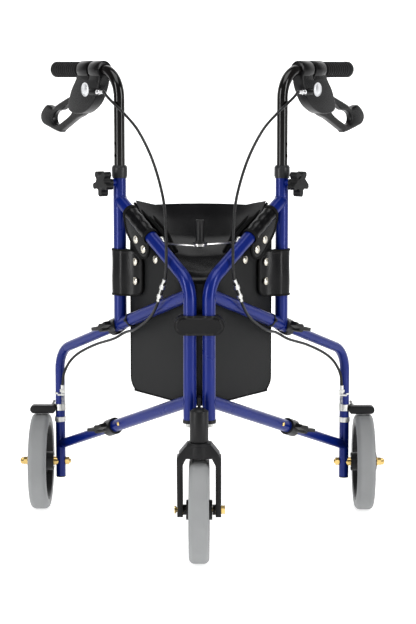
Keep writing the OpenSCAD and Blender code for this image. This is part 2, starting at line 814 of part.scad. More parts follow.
module front_axle() {
    inner = tyre_w / 2 + fork_gap;
    outer = inner + fork_t;
    color("goldenrod") at_front_wheel() rotate([0, 90, 0]) {
        translate([0, 0, -outer - 1]) cylinder(r = axle_r, h = 2 * outer + 5);
        translate([0, 0, -outer - 5]) dome(6.8, 5);
        translate([0, 0, outer]) hex(13, 6.5);
        for (z = [-inner, front_half + 0.3])
            translate([0, 0, z]) ring(8, axle_r, inner - front_half - 0.3);
    }
}

// --- lock bars -----------------------------------------------------------

lock_x = post_x - lock_in * cos(half_angle) + lock_u * sin(half_angle);
lock_y = lock_in * sin(half_angle) + lock_u * cos(half_angle);
bar_l = norm([lock_x, lock_fwd]);
// The pin slides in the wider eye as the walker folds.
eye_r = 10;
open_eye_r = 12.6;
open_hole_r = 9.9;
eye_cap_r = 12;

module lock_link(s) {
    level = s < 0 ? 0 : bar_t + 0.3;
    hole = s < 0 ? 3 : open_hole_r;
    eye = s < 0 ? eye_r : open_eye_r;
    color("silver") half(s)
        translate([lock_x, lock_y, lock_z + 0.3 + level])
            rotate([0, 0, 180 + atan2(lock_fwd, lock_x)]) linear_extrude(bar_t) difference() {
                union() {
                    translate([0, -bar_w / 2 + 1]) square([bar_l, bar_w - 2]);
                    circle(bar_w / 2);
                    translate([bar_l, 0]) circle(eye);
                }
                circle(3 + pin_gap);
                translate([bar_l, 0]) circle(hole);
            }
}

module lock_handle() {
    color("black") translate([0, post_y + lock_y - lock_fwd, 0]) {
        translate([0, 0, lock_z - 5]) cylinder(r = 3, h = 5 + 3 * bar_t + 2);
        translate([0, 0, lock_z - 5]) cylinder(r = 6, h = 4.5);
        translate([0, 0, lock_z + 2 * bar_t + 1.2]) difference() {
            union() {
                cylinder(r = eye_cap_r, h = 2.5);
                cylinder(r1 = 5, r2 = 8, h = pull_l);
            }
            translate([0, 0, pull_l - 22]) cylinder(r = 5.2, h = 30);
        }
    }
}

// --- bag -----------------------------------------------------------------

panel_front = 20;
panel_rear = upright_u - tube_r - 1;

module bag_panel(s) {
    corner = 24;
    below = tube_r / cos(diagonal_slope) + 7;
    color("dimgray") side(s) plane_plate(bag_t, -panel_in - bag_t / 2) union() {
        difference() {
            polygon([[panel_front, bag_z + 4], [panel_rear, bag_z + 4],
                [panel_rear, diagonal_at(panel_rear) - below],
                [panel_front, diagonal_at(panel_front) - below]]);
            translate([panel_rear - corner, bag_z + 3]) square([corner + 1, corner + 1]);
        }
        translate([panel_rear - corner, bag_z + 4 + corner]) circle(corner);
    }
}

// Half the bag's width at a distance behind the posts, inside its side panels.
function bag_half(y) =
    let (w = panel_in + bag_t, u = (y - w * sin(half_angle)) / cos(half_angle))
    post_x - w * cos(half_angle) + u * sin(half_angle) - 1.5;

bag_front = 30;
bag_rear = upright_u * cos(half_angle) - 2;

module bag_shell() {
    rear = bag_rear;
    color([0.1, 0.1, 0.1]) translate([0, post_y, 0]) {
        translate([0, 0, bag_z]) linear_extrude(bag_t) polygon([
            [-bag_half(bag_front), bag_front], [bag_half(bag_front), bag_front],
            [bag_half(rear), rear], [-bag_half(rear), rear]]);
        translate([-bag_half(rear - bag_t), rear - bag_t, bag_z])
            cube([2 * bag_half(rear - bag_t), bag_t, bag_top - bag_z]);
        translate([-bag_half(bag_front), bag_front, bag_z])
            cube([2 * bag_half(bag_front), bag_t, 215]);
    }
}

module bag_flap() {
    rear = bag_rear - bag_t - 1;
    color([0.06, 0.06, 0.06]) translate([0, post_y, 0]) intersection() {
        rotate([90, 0, 90]) translate([0, 0, -200]) linear_extrude(400)
            polygon([[bag_front + 4, 480], [70, 494], [105, 508], [138, 536], [rear, bag_top],
                [rear, bag_top - 8], [136, 530], [105, 503], [70, 489], [bag_front + 4, 475]]);
        translate([0, 0, 400]) linear_extrude(300) polygon([
            [-bag_half(bag_front), bag_front], [bag_half(bag_front), bag_front],
            [bag_half(rear), rear], [-bag_half(rear), rear]]);
    }
}

hinge_yoke();
caster_bracket();
hinge_bolts();
fork();
front_tyre();
front_hub();
front_bearings();
front_axle();
lock_handle();
bag_shell();
bag_flap();
side_frame(RIGHT);  // right_side_frame
side_frame(LEFT);  // left_side_frame
leg_frame(RIGHT);  // right_leg_frame
leg_frame(LEFT);  // left_leg_frame
leg_plug(RIGHT);  // right_leg_plug
leg_plug(LEFT);  // left_leg_plug
handle_tube(RIGHT);  // right_handle_tube
handle_tube(LEFT);  // left_handle_tube
grip(RIGHT);  // right_grip
grip(LEFT);  // left_grip
height_collar(RIGHT);  // right_height_collar
height_collar(LEFT);  // left_height_collar
star_knob(RIGHT);  // right_star_knob
star_knob(LEFT);  // left_star_knob
arm_collars(RIGHT);  // right_arm_collars
arm_collars(LEFT);  // left_arm_collars
wing_knob(RIGHT, upper_z, upper_socket_end);  // right_upper_wing_knob
wing_knob(LEFT, upper_z, upper_socket_end);  // left_upper_wing_knob
wing_knob(RIGHT, lower_z, lower_socket_end);  // right_lower_wing_knob
wing_knob(LEFT, lower_z, lower_socket_end);  // left_lower_wing_knob
snap_button(RIGHT);  // right_snap_button
snap_button(LEFT);  // left_snap_button
brake_housing(RIGHT);  // right_brake_housing
brake_housing(LEFT);  // left_brake_housing
brake_lever(RIGHT);  // right_brake_lever
brake_lever(LEFT);  // left_brake_lever
cable(RIGHT);  // right_cable
cable(LEFT);  // left_cable
cable_adjusters(RIGHT);  // right_cable_adjusters
cable_adjusters(LEFT);  // left_cable_adjusters
brake_bracket(RIGHT);  // right_brake_bracket
brake_bracket(LEFT);  // left_brake_bracket
brake_arm(RIGHT);  // right_brake_arm
brake_arm(LEFT);  // left_brake_arm
brake_spring(RIGHT);  // right_brake_spring
brake_spring(LEFT);  // left_brake_spring
tyre(RIGHT);  // right_tyre
tyre(LEFT);  // left_tyre
hub(RIGHT);  // right_hub
hub(LEFT);  // left_hub
wheel_bearings(RIGHT);  // right_wheel_bearings
wheel_bearings(LEFT);  // left_wheel_bearings
axle(RIGHT);  // right_axle
axle(LEFT);  // left_axle
lock_link(RIGHT);  // right_lock_link
lock_link(LEFT);  // left_lock_link
bag_panel(RIGHT);  // right_bag_panel
bag_panel(LEFT);  // left_bag_panel
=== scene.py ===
# %% [markdown]
# # Dressing a three-wheeled walker
#
# The walker's hard parts arrive as finished solids. This lesson gives every one of them
# a believable surface. It then builds the soft and small things that were not drawn as
# solids: the bag, its straps and snaps, the cables, the springs and the grips.

import math

import bmesh
import bpy
from mathutils import Matrix, Vector


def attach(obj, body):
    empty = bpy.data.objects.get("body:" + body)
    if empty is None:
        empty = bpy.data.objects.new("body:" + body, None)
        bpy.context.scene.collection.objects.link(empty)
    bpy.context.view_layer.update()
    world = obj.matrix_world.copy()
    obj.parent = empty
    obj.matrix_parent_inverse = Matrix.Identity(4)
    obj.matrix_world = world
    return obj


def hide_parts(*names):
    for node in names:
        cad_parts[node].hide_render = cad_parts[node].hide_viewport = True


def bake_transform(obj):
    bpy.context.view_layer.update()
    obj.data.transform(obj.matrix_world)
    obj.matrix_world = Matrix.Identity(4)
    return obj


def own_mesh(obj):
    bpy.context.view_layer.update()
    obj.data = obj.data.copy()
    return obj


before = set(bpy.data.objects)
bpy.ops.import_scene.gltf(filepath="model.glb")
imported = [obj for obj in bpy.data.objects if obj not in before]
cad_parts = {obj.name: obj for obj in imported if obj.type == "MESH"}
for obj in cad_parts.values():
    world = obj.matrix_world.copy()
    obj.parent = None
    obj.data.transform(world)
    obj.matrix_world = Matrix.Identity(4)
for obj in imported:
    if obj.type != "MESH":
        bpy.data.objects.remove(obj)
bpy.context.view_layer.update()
NODES = sorted(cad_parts)

# %% [markdown]
# Each half of the walker is a flat steel frame that turns about its own front post.
# It is easiest to draw its parts in that frame's own directions. X points away from
# the frame's plane, Y runs back from the post, and Z is up, all in millimetres.
# A matrix then carries a drawing to the right or to the left side.

# %% The side frame's own directions
MM = 0.001
RIGHT = -1
LEFT = 1
SIDES = {"right": RIGHT, "left": LEFT}
HALF_ANGLE = math.radians(36.5)
POST_X = 16.0
LEG_U = 422.0
POST_Y = -(LEG_U * math.cos(HALF_ANGLE) - 22.0) / 2
UPRIGHT_U = 212.5
WHEEL_R = 90.0
SLOPE = math.radians(31)
ARM_SLOPE = math.radians(19.6)
DIAGONAL_Z = 470.5
UPPER_Z = 452
LOWER_Z = 272
HANDLE_Z = 824
TIE_U = 178


def shift(x, y, z):
    return Matrix.Translation((x * MM, y * MM, z * MM))


def turned(degrees, axis):
    return Matrix.Rotation(math.radians(degrees), 4, axis)


def side_place(s):
    flip = Matrix.Diagonal((s, 1, 1, 1))
    return flip @ shift(POST_X, POST_Y, 0) @ Matrix.Rotation(-HALF_ANGLE, 4, "Z")


def half_place(s):
    return Matrix.Diagonal((s, 1, 1, 1)) @ shift(0, POST_Y, 0)


def leg_place(s, z=0.0):
    return side_place(s) @ shift(0, LEG_U, z) @ Matrix.Rotation(HALF_ANGLE, 4, "Z")


def diagonal_z(u):
    return DIAGONAL_Z + u * math.tan(SLOPE)


print("posts stand at y =", round(POST_Y, 1), "mm")

# %% [markdown]
# ## Surfaces
#
# A real surface is never one flat value. This recipe starts from a plain colour and
# roughness. Slow noise makes the colour and the shine wander a little, as handling and
# moulding do. Fine noise raises a grain that catches the light.

# %% One recipe for every surface
PAINTS = {}


def paint(
    name, colour, rough, metal=0.0, wander=0.15, grain=400.0, height=0.0, coat=0.0,
    streak=None, spec=0.5,
):
    made = bpy.data.materials.new(name)
    made.use_nodes = True
    tree = made.node_tree
    shader = tree.nodes["Principled BSDF"]
    shader.inputs["Metallic"].default_value = metal
    shader.inputs["Coat Weight"].default_value = coat
    shader.inputs["Specular IOR Level"].default_value = spec
    shader.inputs["Coat Roughness"].default_value = 0.06
    where = tree.nodes.new("ShaderNodeTexCoord")
    slow = tree.nodes.new("ShaderNodeTexNoise")
    slow.inputs["Scale"].default_value = 14.0
    slow.inputs["Detail"].default_value = 5.0
    tree.links.new(where.outputs["Object"], slow.inputs["Vector"])
    if streak is not None:
        stretch = tree.nodes.new("ShaderNodeMapping")
        stretch.inputs["Scale"].default_value = streak
        tree.links.new(where.outputs["Object"], stretch.inputs["Vector"])
        tree.links.new(stretch.outputs["Vector"], slow.inputs["Vector"])
    shade = tree.nodes.new("ShaderNodeValToRGB")
    dark = [c * (1 - wander) for c in colour]
    light = [min(1.0, c * (1 + wander)) for c in colour]
    shade.color_ramp.elements[0].color = (*dark, 1)
    shade.color_ramp.elements[1].color = (*light, 1)
    shade.color_ramp.elements[0].position = 0.3
    shade.color_ramp.elements[1].position = 0.7
    tree.links.new(slow.outputs["Fac"], shade.inputs["Fac"])
    tree.links.new(shade.outputs["Color"], shader.inputs["Base Color"])
    shine = tree.nodes.new("ShaderNodeMapRange")
    shine.inputs["To Min"].default_value = max(0.02, rough * (1 - wander))
    shine.inputs["To Max"].default_value = min(1.0, rough * (1 + wander))
    tree.links.new(slow.outputs["Fac"], shine.inputs["Value"])
    tree.links.new(shine.outputs["Result"], shader.inputs["Roughness"])
    if height > 0:
        fine = tree.nodes.new("ShaderNodeTexNoise")
        fine.inputs["Scale"].default_value = grain
        fine.inputs["Detail"].default_value = 3.0
        tree.links.new(where.outputs["Object"], fine.inputs["Vector"])
        bump = tree.nodes.new("ShaderNodeBump")
        bump.inputs["Strength"].default_value = min(1.0, height)
        bump.inputs["Distance"].default_value = 0.0004
        tree.links.new(fine.outputs["Fac"], bump.inputs["Height"])
        tree.links.new(bump.outputs["Normal"], shader.inputs["Normal"])
    PAINTS[name] = made
    return made


# %% [markdown]
# The frame is sprayed with a deep blue that holds a little metal, under a faint clear
# coat. The handle tubes are plain black enamel. The moulded parts are
# black plastic in three grades: smooth, satin grey and a coarse spark-eroded texture.

# %% The hard surfaces
paint(
    "frame_paint", (0.0018, 0.012, 0.150), 0.28, metal=0.20, wander=0.07, grain=2600,
    height=0.10, coat=0.12, spec=0.24,
)
paint(
    "handle_enamel", (0.003, 0.0026, 0.0025), 0.15, wander=0.20, grain=900,
    height=0.03, coat=0.10, spec=0.3,
)
paint("black_plastic", (0.0045, 0.0045, 0.005), 0.42, wander=0.16, grain=1500, height=0.18, spec=0.26)
paint("collar_plastic", (0.014, 0.0145, 0.016), 0.36, wander=0.14, grain=1200, height=0.14, spec=0.3)
paint("fork_plastic", (0.006, 0.006, 0.0065), 0.50, wander=0.20, grain=900, height=0.55, spec=0.24)
paint("hub_plastic", (0.005, 0.005, 0.0055), 0.46, wander=0.15, grain=1300, height=0.20, spec=0.24)
paint("brake_enamel", (0.0030, 0.0030, 0.0034), 0.27, wander=0.18, grain=1100, height=0.14, spec=0.26)
paint("tyre_rubber", (0.250, 0.256, 0.258), 0.62, wander=0.09, grain=800, height=0.25)
paint("grip_rubber", (0.006, 0.006, 0.0065), 0.66, wander=0.18, grain=1400, height=0.45, spec=0.22)
paint("cable_jacket", (0.004, 0.004, 0.0045), 0.36, wander=0.14, grain=1600, height=0.12, spec=0.35)
paint("zinc", (0.62, 0.62, 0.60), 0.30, metal=1.0, wander=0.14, grain=1100, height=0.12)
paint(
    "bar_steel", (0.46, 0.45, 0.44), 0.30, metal=1.0, wander=0.12, grain=900,
    height=0.10, streak=(3, 60, 60),
)
paint("brass_bolt", (0.78, 0.55, 0.20), 0.28, metal=1.0, wander=0.16, grain=1000, height=0.10)
paint("bearing_steel", (0.55, 0.55, 0.56), 0.22, metal=1.0, wander=0.12, grain=900, height=0.08)
paint("chrome", (0.78, 0.78, 0.79), 0.09, metal=1.0, wander=0.10, grain=800, height=0.03)
paint("badge_silver", (0.72, 0.73, 0.75), 0.22, metal=0.55, wander=0.06, grain=700, height=0.05, coat=0.5)

# %% [markdown]
# The bag is made from two sheets. Its sides are stiffened boards with a dull grey face.
# The rest is supple black vinyl with a soft shine and a leather-like grain. Bindings and
# zip tapes are woven, so their grain is far coarser and they hardly shine at all.

# %% The soft surfaces
paint("bag_board", (0.0105, 0.0108, 0.0112), 0.58, wander=0.12, grain=1000, height=0.40, spec=0.18)
paint("bag_vinyl", (0.0022, 0.0022, 0.0028), 0.25, wander=0.22, grain=620, height=0.42, spec=0.20)
paint("binding", (0.003, 0.003, 0.003), 0.82, wander=0.22, grain=1900, height=0.80, spec=0.15)
paint("thread", (0.055, 0.052, 0.050), 0.78, wander=0.20, grain=2400, height=0.50)
paint("snap_nickel", (0.74, 0.70, 0.61), 0.23, metal=0.85, wander=0.09, grain=900, height=0.05)
print(len(PAINTS), "surfaces")

# %% [markdown]
# Every solid that came in gets its surface here. The longest matching ending wins, so
# the front and rear tyres share one line.

# %% Paint the solids
COVER = {
    "side_frame": "frame_paint", "leg_frame": "frame_paint", "leg_plug": "black_plastic",
    "handle_tube": "handle_enamel", "grip": "grip_rubber", "height_collar": "collar_plastic",
    "star_knob": "black_plastic", "arm_collars": "collar_plastic", "wing_knob": "black_plastic",
    "snap_button": "brass_bolt", "brake_housing": "brake_enamel", "brake_lever": "brake_enamel",
    "cable": "cable_jacket", "cable_adjusters": "zinc", "brake_bracket": "zinc",
    "brake_arm": "black_plastic", "brake_spring": "zinc", "tyre": "tyre_rubber",
    "hub": "hub_plastic", "bearings": "bearing_steel", "axle": "brass_bolt",
    "hinge_yoke": "black_plastic", "caster_bracket": "black_plastic", "hinge_bolts": "zinc",
    "fork": "fork_plastic", "lock_handle": "black_plastic", "lock_link": "bar_steel",
    "bag_shell": "bag_vinyl", "bag_flap": "bag_vinyl", "bag_panel": "bag_board",
}


def cover_of(node):
    ends = [end for end in COVER if node.endswith(end)]
    return COVER[max(ends, key=len)]


for node in NODES:
    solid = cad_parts[node]
    solid.data.materials.clear()
    solid.data.materials.append(PAINTS[cover_of(node)])
print("painted", len(NODES), "solids")

# %% [markdown]
# ## Tools for making pieces
#
# Three small tools make nearly everything that follows. The first turns a profile round
# an axis, like a lathe. The second pushes a section along a path, like an extruder. The
# third cuts an outline from a plate and rounds its edges, like a moulding.

# %% The lathe, the extruder and the plate cutter
def keep_mesh(name, verts, faces, place, cover, body, smooth=38.0):
    mesh = bpy.data.meshes.new(name)
    moved = [place @ Vector((x * MM, y * MM, z * MM)) for x, y, z in verts]
    mesh.from_pydata([tuple(v) for v in moved], [], faces)
    tidy = bmesh.new()
    tidy.from_mesh(mesh)
    bmesh.ops.remove_doubles(tidy, verts=tidy.verts, dist=0.00001)
    bmesh.ops.recalc_face_normals(tidy, faces=tidy.faces)
    tidy.to_mesh(mesh)
    tidy.free()
    return dress(name, mesh, cover, body, smooth)


def dress(name, mesh, cover, body, smooth=38.0):
    mesh.materials.clear()
    mesh.materials.append(PAINTS[cover])
    mesh.polygons.foreach_set("use_smooth", [True] * len(mesh.polygons))
    mesh.set_sharp_from_angle(angle=math.radians(smooth))
    piece = bpy.data.objects.new(name, mesh)
    bpy.context.scene.collection.objects.link(piece)
    if body is not None:
        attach(piece, body)
    return piece


def lathe(name, profile, place, cover, body, around=40):
    verts = []
    faces = []
    for k in range(around):
        a = math.tau * k / around
        verts += [(r * math.cos(a), r * math.sin(a), h) for r, h in profile]
    n = len(profile)
    for k in range(around):
        m = (k + 1) % around
        for i in range(n - 1):
            faces.append((k * n + i, m * n + i, m * n + i + 1, k * n + i + 1))
    return keep_mesh(name, verts, faces, place, cover, body)


def smooth_path(points, step=4.0):
    found = []
    last = len(points) - 1
    for i in range(last):
        a, b = Vector(points[max(i - 1, 0)]), Vector(points[i])
        c, d = Vector(points[i + 1]), Vector(points[min(i + 2, last)])
        n = max(1, round((c - b).length / step))
        for k in range(n):
            t = k / n
            bend = 2 * b + (c - a) * t + (2 * a - 5 * b + 4 * c - d) * t * t
            found.append(0.5 * (bend + (3 * b - a - 3 * c + d) * t ** 3))
    found.append(Vector(points[last]))
    return found


def sweep(path, section, closed=False, up=(0, 0, 1)):
    verts = []
    faces = []
    n = len(path)
    m = len(section)
    side = None
    for i, point in enumerate(path):
        before = path[i - 1] if (i > 0 or closed) else path[0]
        after = path[(i + 1) % n] if (i < n - 1 or closed) else path[-1]
        along = (after - before).normalized()
        if side is None:
            side = along.cross(Vector(up))
            if side.length < 0.01:
                side = along.cross(Vector((0, 1, 0)))
        side = (side - along * side.dot(along)).normalized()
        top = side.cross(along)
        verts += [tuple(point + side * a + top * b) for a, b in section]
    for i in range(n if closed else n - 1):
        j = (i + 1) % n
        for k in range(m):
            e = (k + 1) % m
            faces.append((i * m + k, j * m + k, j * m + e, i * m + e))
    if not closed:
        faces.append(tuple(range(m)))
        faces.append(tuple((n - 1) * m + k for k in range(m)))
    return verts, faces


def round_section(radius, sides=12):
    turn = [math.tau * k / sides for k in range(sides)]
    return [(radius * math.cos(a), radius * math.sin(a)) for a in turn]


def tube(name, points, radius, place, cover, body, step=4.0, sides=12):
    verts, faces = sweep(smooth_path(points, step), round_section(radius, sides))
    return keep_mesh(name, verts, faces, place, cover, body)


def soft_outline(points, step=3.0):
    ring = [Vector((x, y, 0)) for x, y in points]
    closed = smooth_path([ring[-1]] + ring + [ring[0], ring[1]], step)
    start = min(range(len(closed) // 2), key=lambda i: (closed[i] - ring[0]).length)
    stop = max(
        range(len(closed) // 2, len(closed)),
        key=lambda i: -(closed[i] - ring[0]).length,
    )
    return [(v.x, v.y) for v in closed[start:stop]]


def moulding(name, outlines, thick, edge, place, cover, body, levels=3):
    curve = bpy.data.curves.new(name, "CURVE")
    curve.dimensions = "2D"
    curve.fill_mode = "BOTH"
    curve.extrude = (thick / 2 - edge) * MM
    curve.bevel_depth = edge * MM
    curve.bevel_resolution = levels
    curve.offset = -edge * MM
    for outline in outlines:
        line = curve.splines.new("POLY")
        line.points.add(len(outline) - 1)
        for point, (x, y) in zip(line.points, outline):
            point.co = (x * MM, y * MM, 0, 1)
        line.use_cyclic_u = True
    maker = bpy.data.objects.new(name + "_maker", curve)
    bpy.context.scene.collection.objects.link(maker)
    bpy.context.view_layer.update()
    shape = maker.evaluated_get(bpy.context.evaluated_depsgraph_get())
    mesh = bpy.data.meshes.new_from_object(shape)
    bpy.data.objects.remove(maker)
    mesh.transform(place)
    tidy = bmesh.new()
    tidy.from_mesh(mesh)
    bmesh.ops.remove_doubles(tidy, verts=tidy.verts, dist=0.00002)
    bmesh.ops.recalc_face_normals(tidy, faces=tidy.faces)
    tidy.to_mesh(mesh)
    tidy.free()
    return dress(name, mesh, cover, body, 50.0)


# A flat outline is drawn as [rearwards, up], and this stands it in the frame's plane.
UP_IN_PLANE = Matrix(((0, 0, 1, 0), (1, 0, 0, 0), (0, 1, 0, 0), (0, 0, 0, 1)))
print("tools are ready")

# %% [markdown]
# ## Softened mouldings
#
# Solids from a drawing have knife edges, and no moulding does. The copy is first joined
# up, because the solids arrive as loose triangles. Coplanar triangles are then merged, and
# a narrow bevel rounds every edge that turns sharply.

# %% Round the edges of moulded parts
def soften(node, width, body, flat=1.0, sharp=32.0):
    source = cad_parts[node]
    mesh = source.data.copy()
    tidy = bmesh.new()
    tidy.from_mesh(mesh)
    bmesh.ops.remove_doubles(tidy, verts=tidy.verts, dist=0.00002)
    bmesh.ops.dissolve_limit(
        tidy, angle_limit=math.radians(flat), verts=tidy.verts, edges=tidy.edges
    )
    bmesh.ops.recalc_face_normals(tidy, faces=tidy.faces)
    crisp = [
        e for e in tidy.edges
        if len(e.link_faces) == 2 and e.calc_face_angle(0) > math.radians(sharp)
    ]
    bmesh.ops.bevel(
        tidy, geom=crisp, offset=width * MM, offset_type="OFFSET",
        segments=2, profile=0.6, affect="EDGES", clamp_overlap=True,
    )
    bmesh.ops.remove_doubles(tidy, verts=tidy.verts, dist=0.00001)
    tidy.to_mesh(mesh)
    tidy.free()
    piece = dress("soft_" + node, mesh, cover_of(node), body, 40.0)
    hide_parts(node)
    return piece


soften("hinge_yoke", 2.2, "root")
soften("caster_bracket", 0.8, "root")
soften("fork", 1.6, "caster")
soften("front_hub", 0.7, "front_wheel")
for name in SIDES:
    soften(name + "_star_knob", 1.6, name + "_star_knob")
    soften(name + "_upper_wing_knob", 1.2, name + "_upper_wing_knob")
    soften(name + "_lower_wing_knob", 1.2, name + "_lower_wing_knob")
    soften(name + "_brake_arm", 1.0, name + "_brake_arm")
    soften(name + "_hub", 0.7, name + "_wheel")
    soften(name + "_arm_collars", 0.7, name + "_side")
print("softened the mouldings")

# %% [markdown]
# ## The loop brake
#
# Squeezing the loop with four fingers pulls the cable, and its bumps keep the fingers
# apart. It is moulded in one piece with generous edges, so a plate cut with deep rounding
# suits it. The housing is moulded the same way round two clamp rings on the tube.

# %% Loop lever, housing, badge and barrel
LEVER = [
    (140, -43), (170, -53), (193, -61), (206, -66), (214, -71), (226, -67), (237, -65),
    (248, -71), (257, -80), (259, -90), (252, -99), (238, -104), (195, -114), (184, -110),
    (140, -90), (112, -80), (92, -64), (84, -42), (86, -30), (94, -25), (103, -28),
]
OPENING = [
    (149, -58), (168, -64), (184, -73), (199, -75), (211, -80), (216, -86), (216, -93),
    (211, -99), (200, -101), (190, -98), (150, -78),
]
HOUSING = [
    (50, -3), (46, -12), (52, -33), (74, -62), (114, -79), (152, -72), (145, -41),
    (127, -18), (117, -3), (88, -3), (82, -16), (76, -3),
]
for name, s in SIDES.items():
    plane = side_place(s) @ shift(0, UPRIGHT_U, HANDLE_Z) @ UP_IN_PLANE
    lever = moulding(
        name + "_lever", [soft_outline(LEVER), soft_outline(OPENING)],
        15, 3.6, plane, "brake_enamel", name + "_brake_lever",
    )
    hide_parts(name + "_brake_lever")
    housing = moulding(
        name + "_housing", [soft_outline(HOUSING, 2.0)],
        23.4, 3.0, plane, "brake_enamel", name + "_handle",
    )
    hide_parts(name + "_brake_housing")
    for start, length in ((46, 33), (84, 34)):
        across = side_place(s) @ shift(0, UPRIGHT_U + start, HANDLE_Z) @ turned(-90, "X")
        ring = [
            (9.55, 0), (13.4, 0), (15.2, 0.8), (16.0, 2.6), (16.0, length - 2.6),
            (15.2, length - 0.8), (13.4, length), (9.55, length), (9.55, 0),
        ]
        lathe(f"{name}_clamp_{start}", ring, across, "brake_enamel", name + "_handle", 56)
    face = side_place(s) @ shift(11.2, UPRIGHT_U + 93, 789) @ turned(90, "Y")
    badge = [(0, 1.9), (8.6, 1.8), (9.4, 1.2), (10.2, 1.4), (12.2, 1.5), (12.7, 0.9), (12.7, 0), (0, 0)]
    lathe(name + "_badge", badge, face, "badge_silver", name + "_handle", 56)
    barrel = [(0, 0), (3.4, 0), (3.6, 0.6), (3.6, 7)]
    for k in range(6):
        barrel += [(5.0, 7.5 + 2.2 * k), (5.0, 8.9 + 2.2 * k), (4.5, 9.2 + 2.2 * k), (4.5, 9.6 + 2.2 * k)]
    barrel += [(5.1, 21), (5.1, 24), (3.6, 24.6), (3.6, 40), (0, 40)]
    mouth = side_place(s) @ shift(10, UPRIGHT_U + 74, 785) @ turned(90, "X")
    lathe(name + "_barrel", barrel, mouth, "chrome", name + "_handle", 24)
    boss = [(3.7, 0), (6.6, 0), (6.4, 18), (5.8, 19.4), (3.7, 19.4), (3.7, 0)]
    lathe(name + "_barrel_boss", boss, mouth, "brake_enamel", name + "_handle", 32)
print("two brakes")

# %% [markdown]
# ## Grips
#
# A rubber grip is stretched over the tube's end. Rings keep a damp palm from slipping, and
# a wide flange stops the hand sliding off. The profile is drawn ring by ring and turned.

# %% Ribbed grips
def grip_profile():
    profile = [(9.55, 0), (13.2, 0), (14.2, 0.7), (14.5, 2.0), (14.2, 3.4), (13.0, 4.4)]
    for k in range(9):
        start = 6.4 + 7.2 * k
        profile += [
            (12.9, start), (13.9, start + 0.6), (14.25, start + 1.6),
            (14.25, start + 3.4), (13.9, start + 4.4), (12.9, start + 5.0),
        ]
    profile += [(13.0, 71.8), (14.0, 73.0), (14.5, 74.2), (14.5, 83.0), (13.6, 84.6), (11.5, 85.0), (0, 85.0)]
    return profile


for name, s in SIDES.items():
    along = side_place(s) @ shift(0, UPRIGHT_U + 125, HANDLE_Z) @ turned(-90, "X")
    grip = lathe(name + "_rubber_grip", grip_profile(), along, "grip_rubber", name + "_handle", 56)
    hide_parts(name + "_grip")
print("two grips")

# %% [markdown]
# ## Brake cables
#
# Each cable leaves the housing, droops past the frame and runs under the upper arm to the
# wheel.

# %% Cables and adjusters
CABLE = [
    (170, 191, 785), (163, 175, 777), (151, 157, 766), (133, 138, 750), (106, 108, 720),
    (80, 78, 670), (62, 49, 610), (57, 33, 560), (56, 26, 520), (58, 25, 476), (71, 40, 433),
    (86, 66, 403), (112, 110, 377), (134, 160, 363), (156, 190, 347), (192, 244, 328),
    (226, 290, 305), (246, 315, 284), (258, 325, 260), (261, 324, 238),
]
for name, s in SIDES.items():
    place = half_place(s)
    route = [place @ (p * MM) for p in smooth_path(CABLE, 4.0)]
    length = sum((b - a).length for a, b in zip(route, route[1:]))
    cable = tube(name + "_brake_cable", CABLE, 2.5, place, "cable_jacket", None)
    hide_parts(name + "_cable")
    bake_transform(cable)
    print(name, "cable", round(length, 3), "m")
    start, stop = Vector(CABLE[9]), Vector(CABLE[10])
    lean = (stop - start).to_track_quat("Z", "Y").to_matrix().to_4x4()
    span = (stop - start).length
    at = place @ shift(*start) @ lean
    adjuster = [(0, 2), (2.9, 2), (3.3, 3), (3.3, 12)]
    for k in range(4):
        adjuster += [(5.0, 13 + 1.6 * k), (5.0, 13.9 + 1.6 * k), (4.4, 14.1 + 1.6 * k), (4.4, 14.4 + 1.6 * k)]
    adjuster += [(3.4, 21), (3.4, span * 0.64), (5.0, span * 0.66), (5.0, span * 0.78), (3.6, span * 0.8)]
    adjuster += [(3.2, span * 0.92), (0, span * 0.92)]
    lathe(name + "_inline_adjuster", adjuster, at, "zinc", name + "_side", 28)

# %% [markdown]
# A tie holds each cable against the upper arm. It is a flat strap pulled round both, with
# a small square head where it locks.

# %% Cable ties
for name, s in SIDES.items():
    arm = side_place(s) @ shift(0, TIE_U, UPPER_Z - TIE_U * math.tan(ARM_SLOPE)) @ turned(-90 - 19.6, "X")
    loop = [
        (11.4 * math.cos(math.tau * k / 32), 11.4 * math.sin(math.tau * k / 32), 0) for k in range(32)
    ]
    strap = [(-0.6, -2.2), (0.6, -2.2), (0.6, 2.2), (-0.6, 2.2)]
    verts, faces = sweep([Vector(p) for p in loop], strap, closed=True)
    keep_mesh(name + "_tie", verts, faces, arm, "black_plastic", name + "_side")
    moulding(
        name + "_tie_head", [[(-3, -2.6), (3, -2.6), (3, 2.6), (-3, 2.6)]], 4.4, 0.6,
        arm @ shift(12.4, 0, 0) @ turned(90, "Y"), "black_plastic", name + "_side",
    )
print("adjusters and ties")

# %% [markdown]
# ## Return springs
#
# When the lever is let go, a small tension spring lifts the pad off the tyre. Wire is
# wound round a helix, so Geometry Nodes can draw it: a spiral curve, a wire circle swept
# along it, and the sweep made into a real mesh.

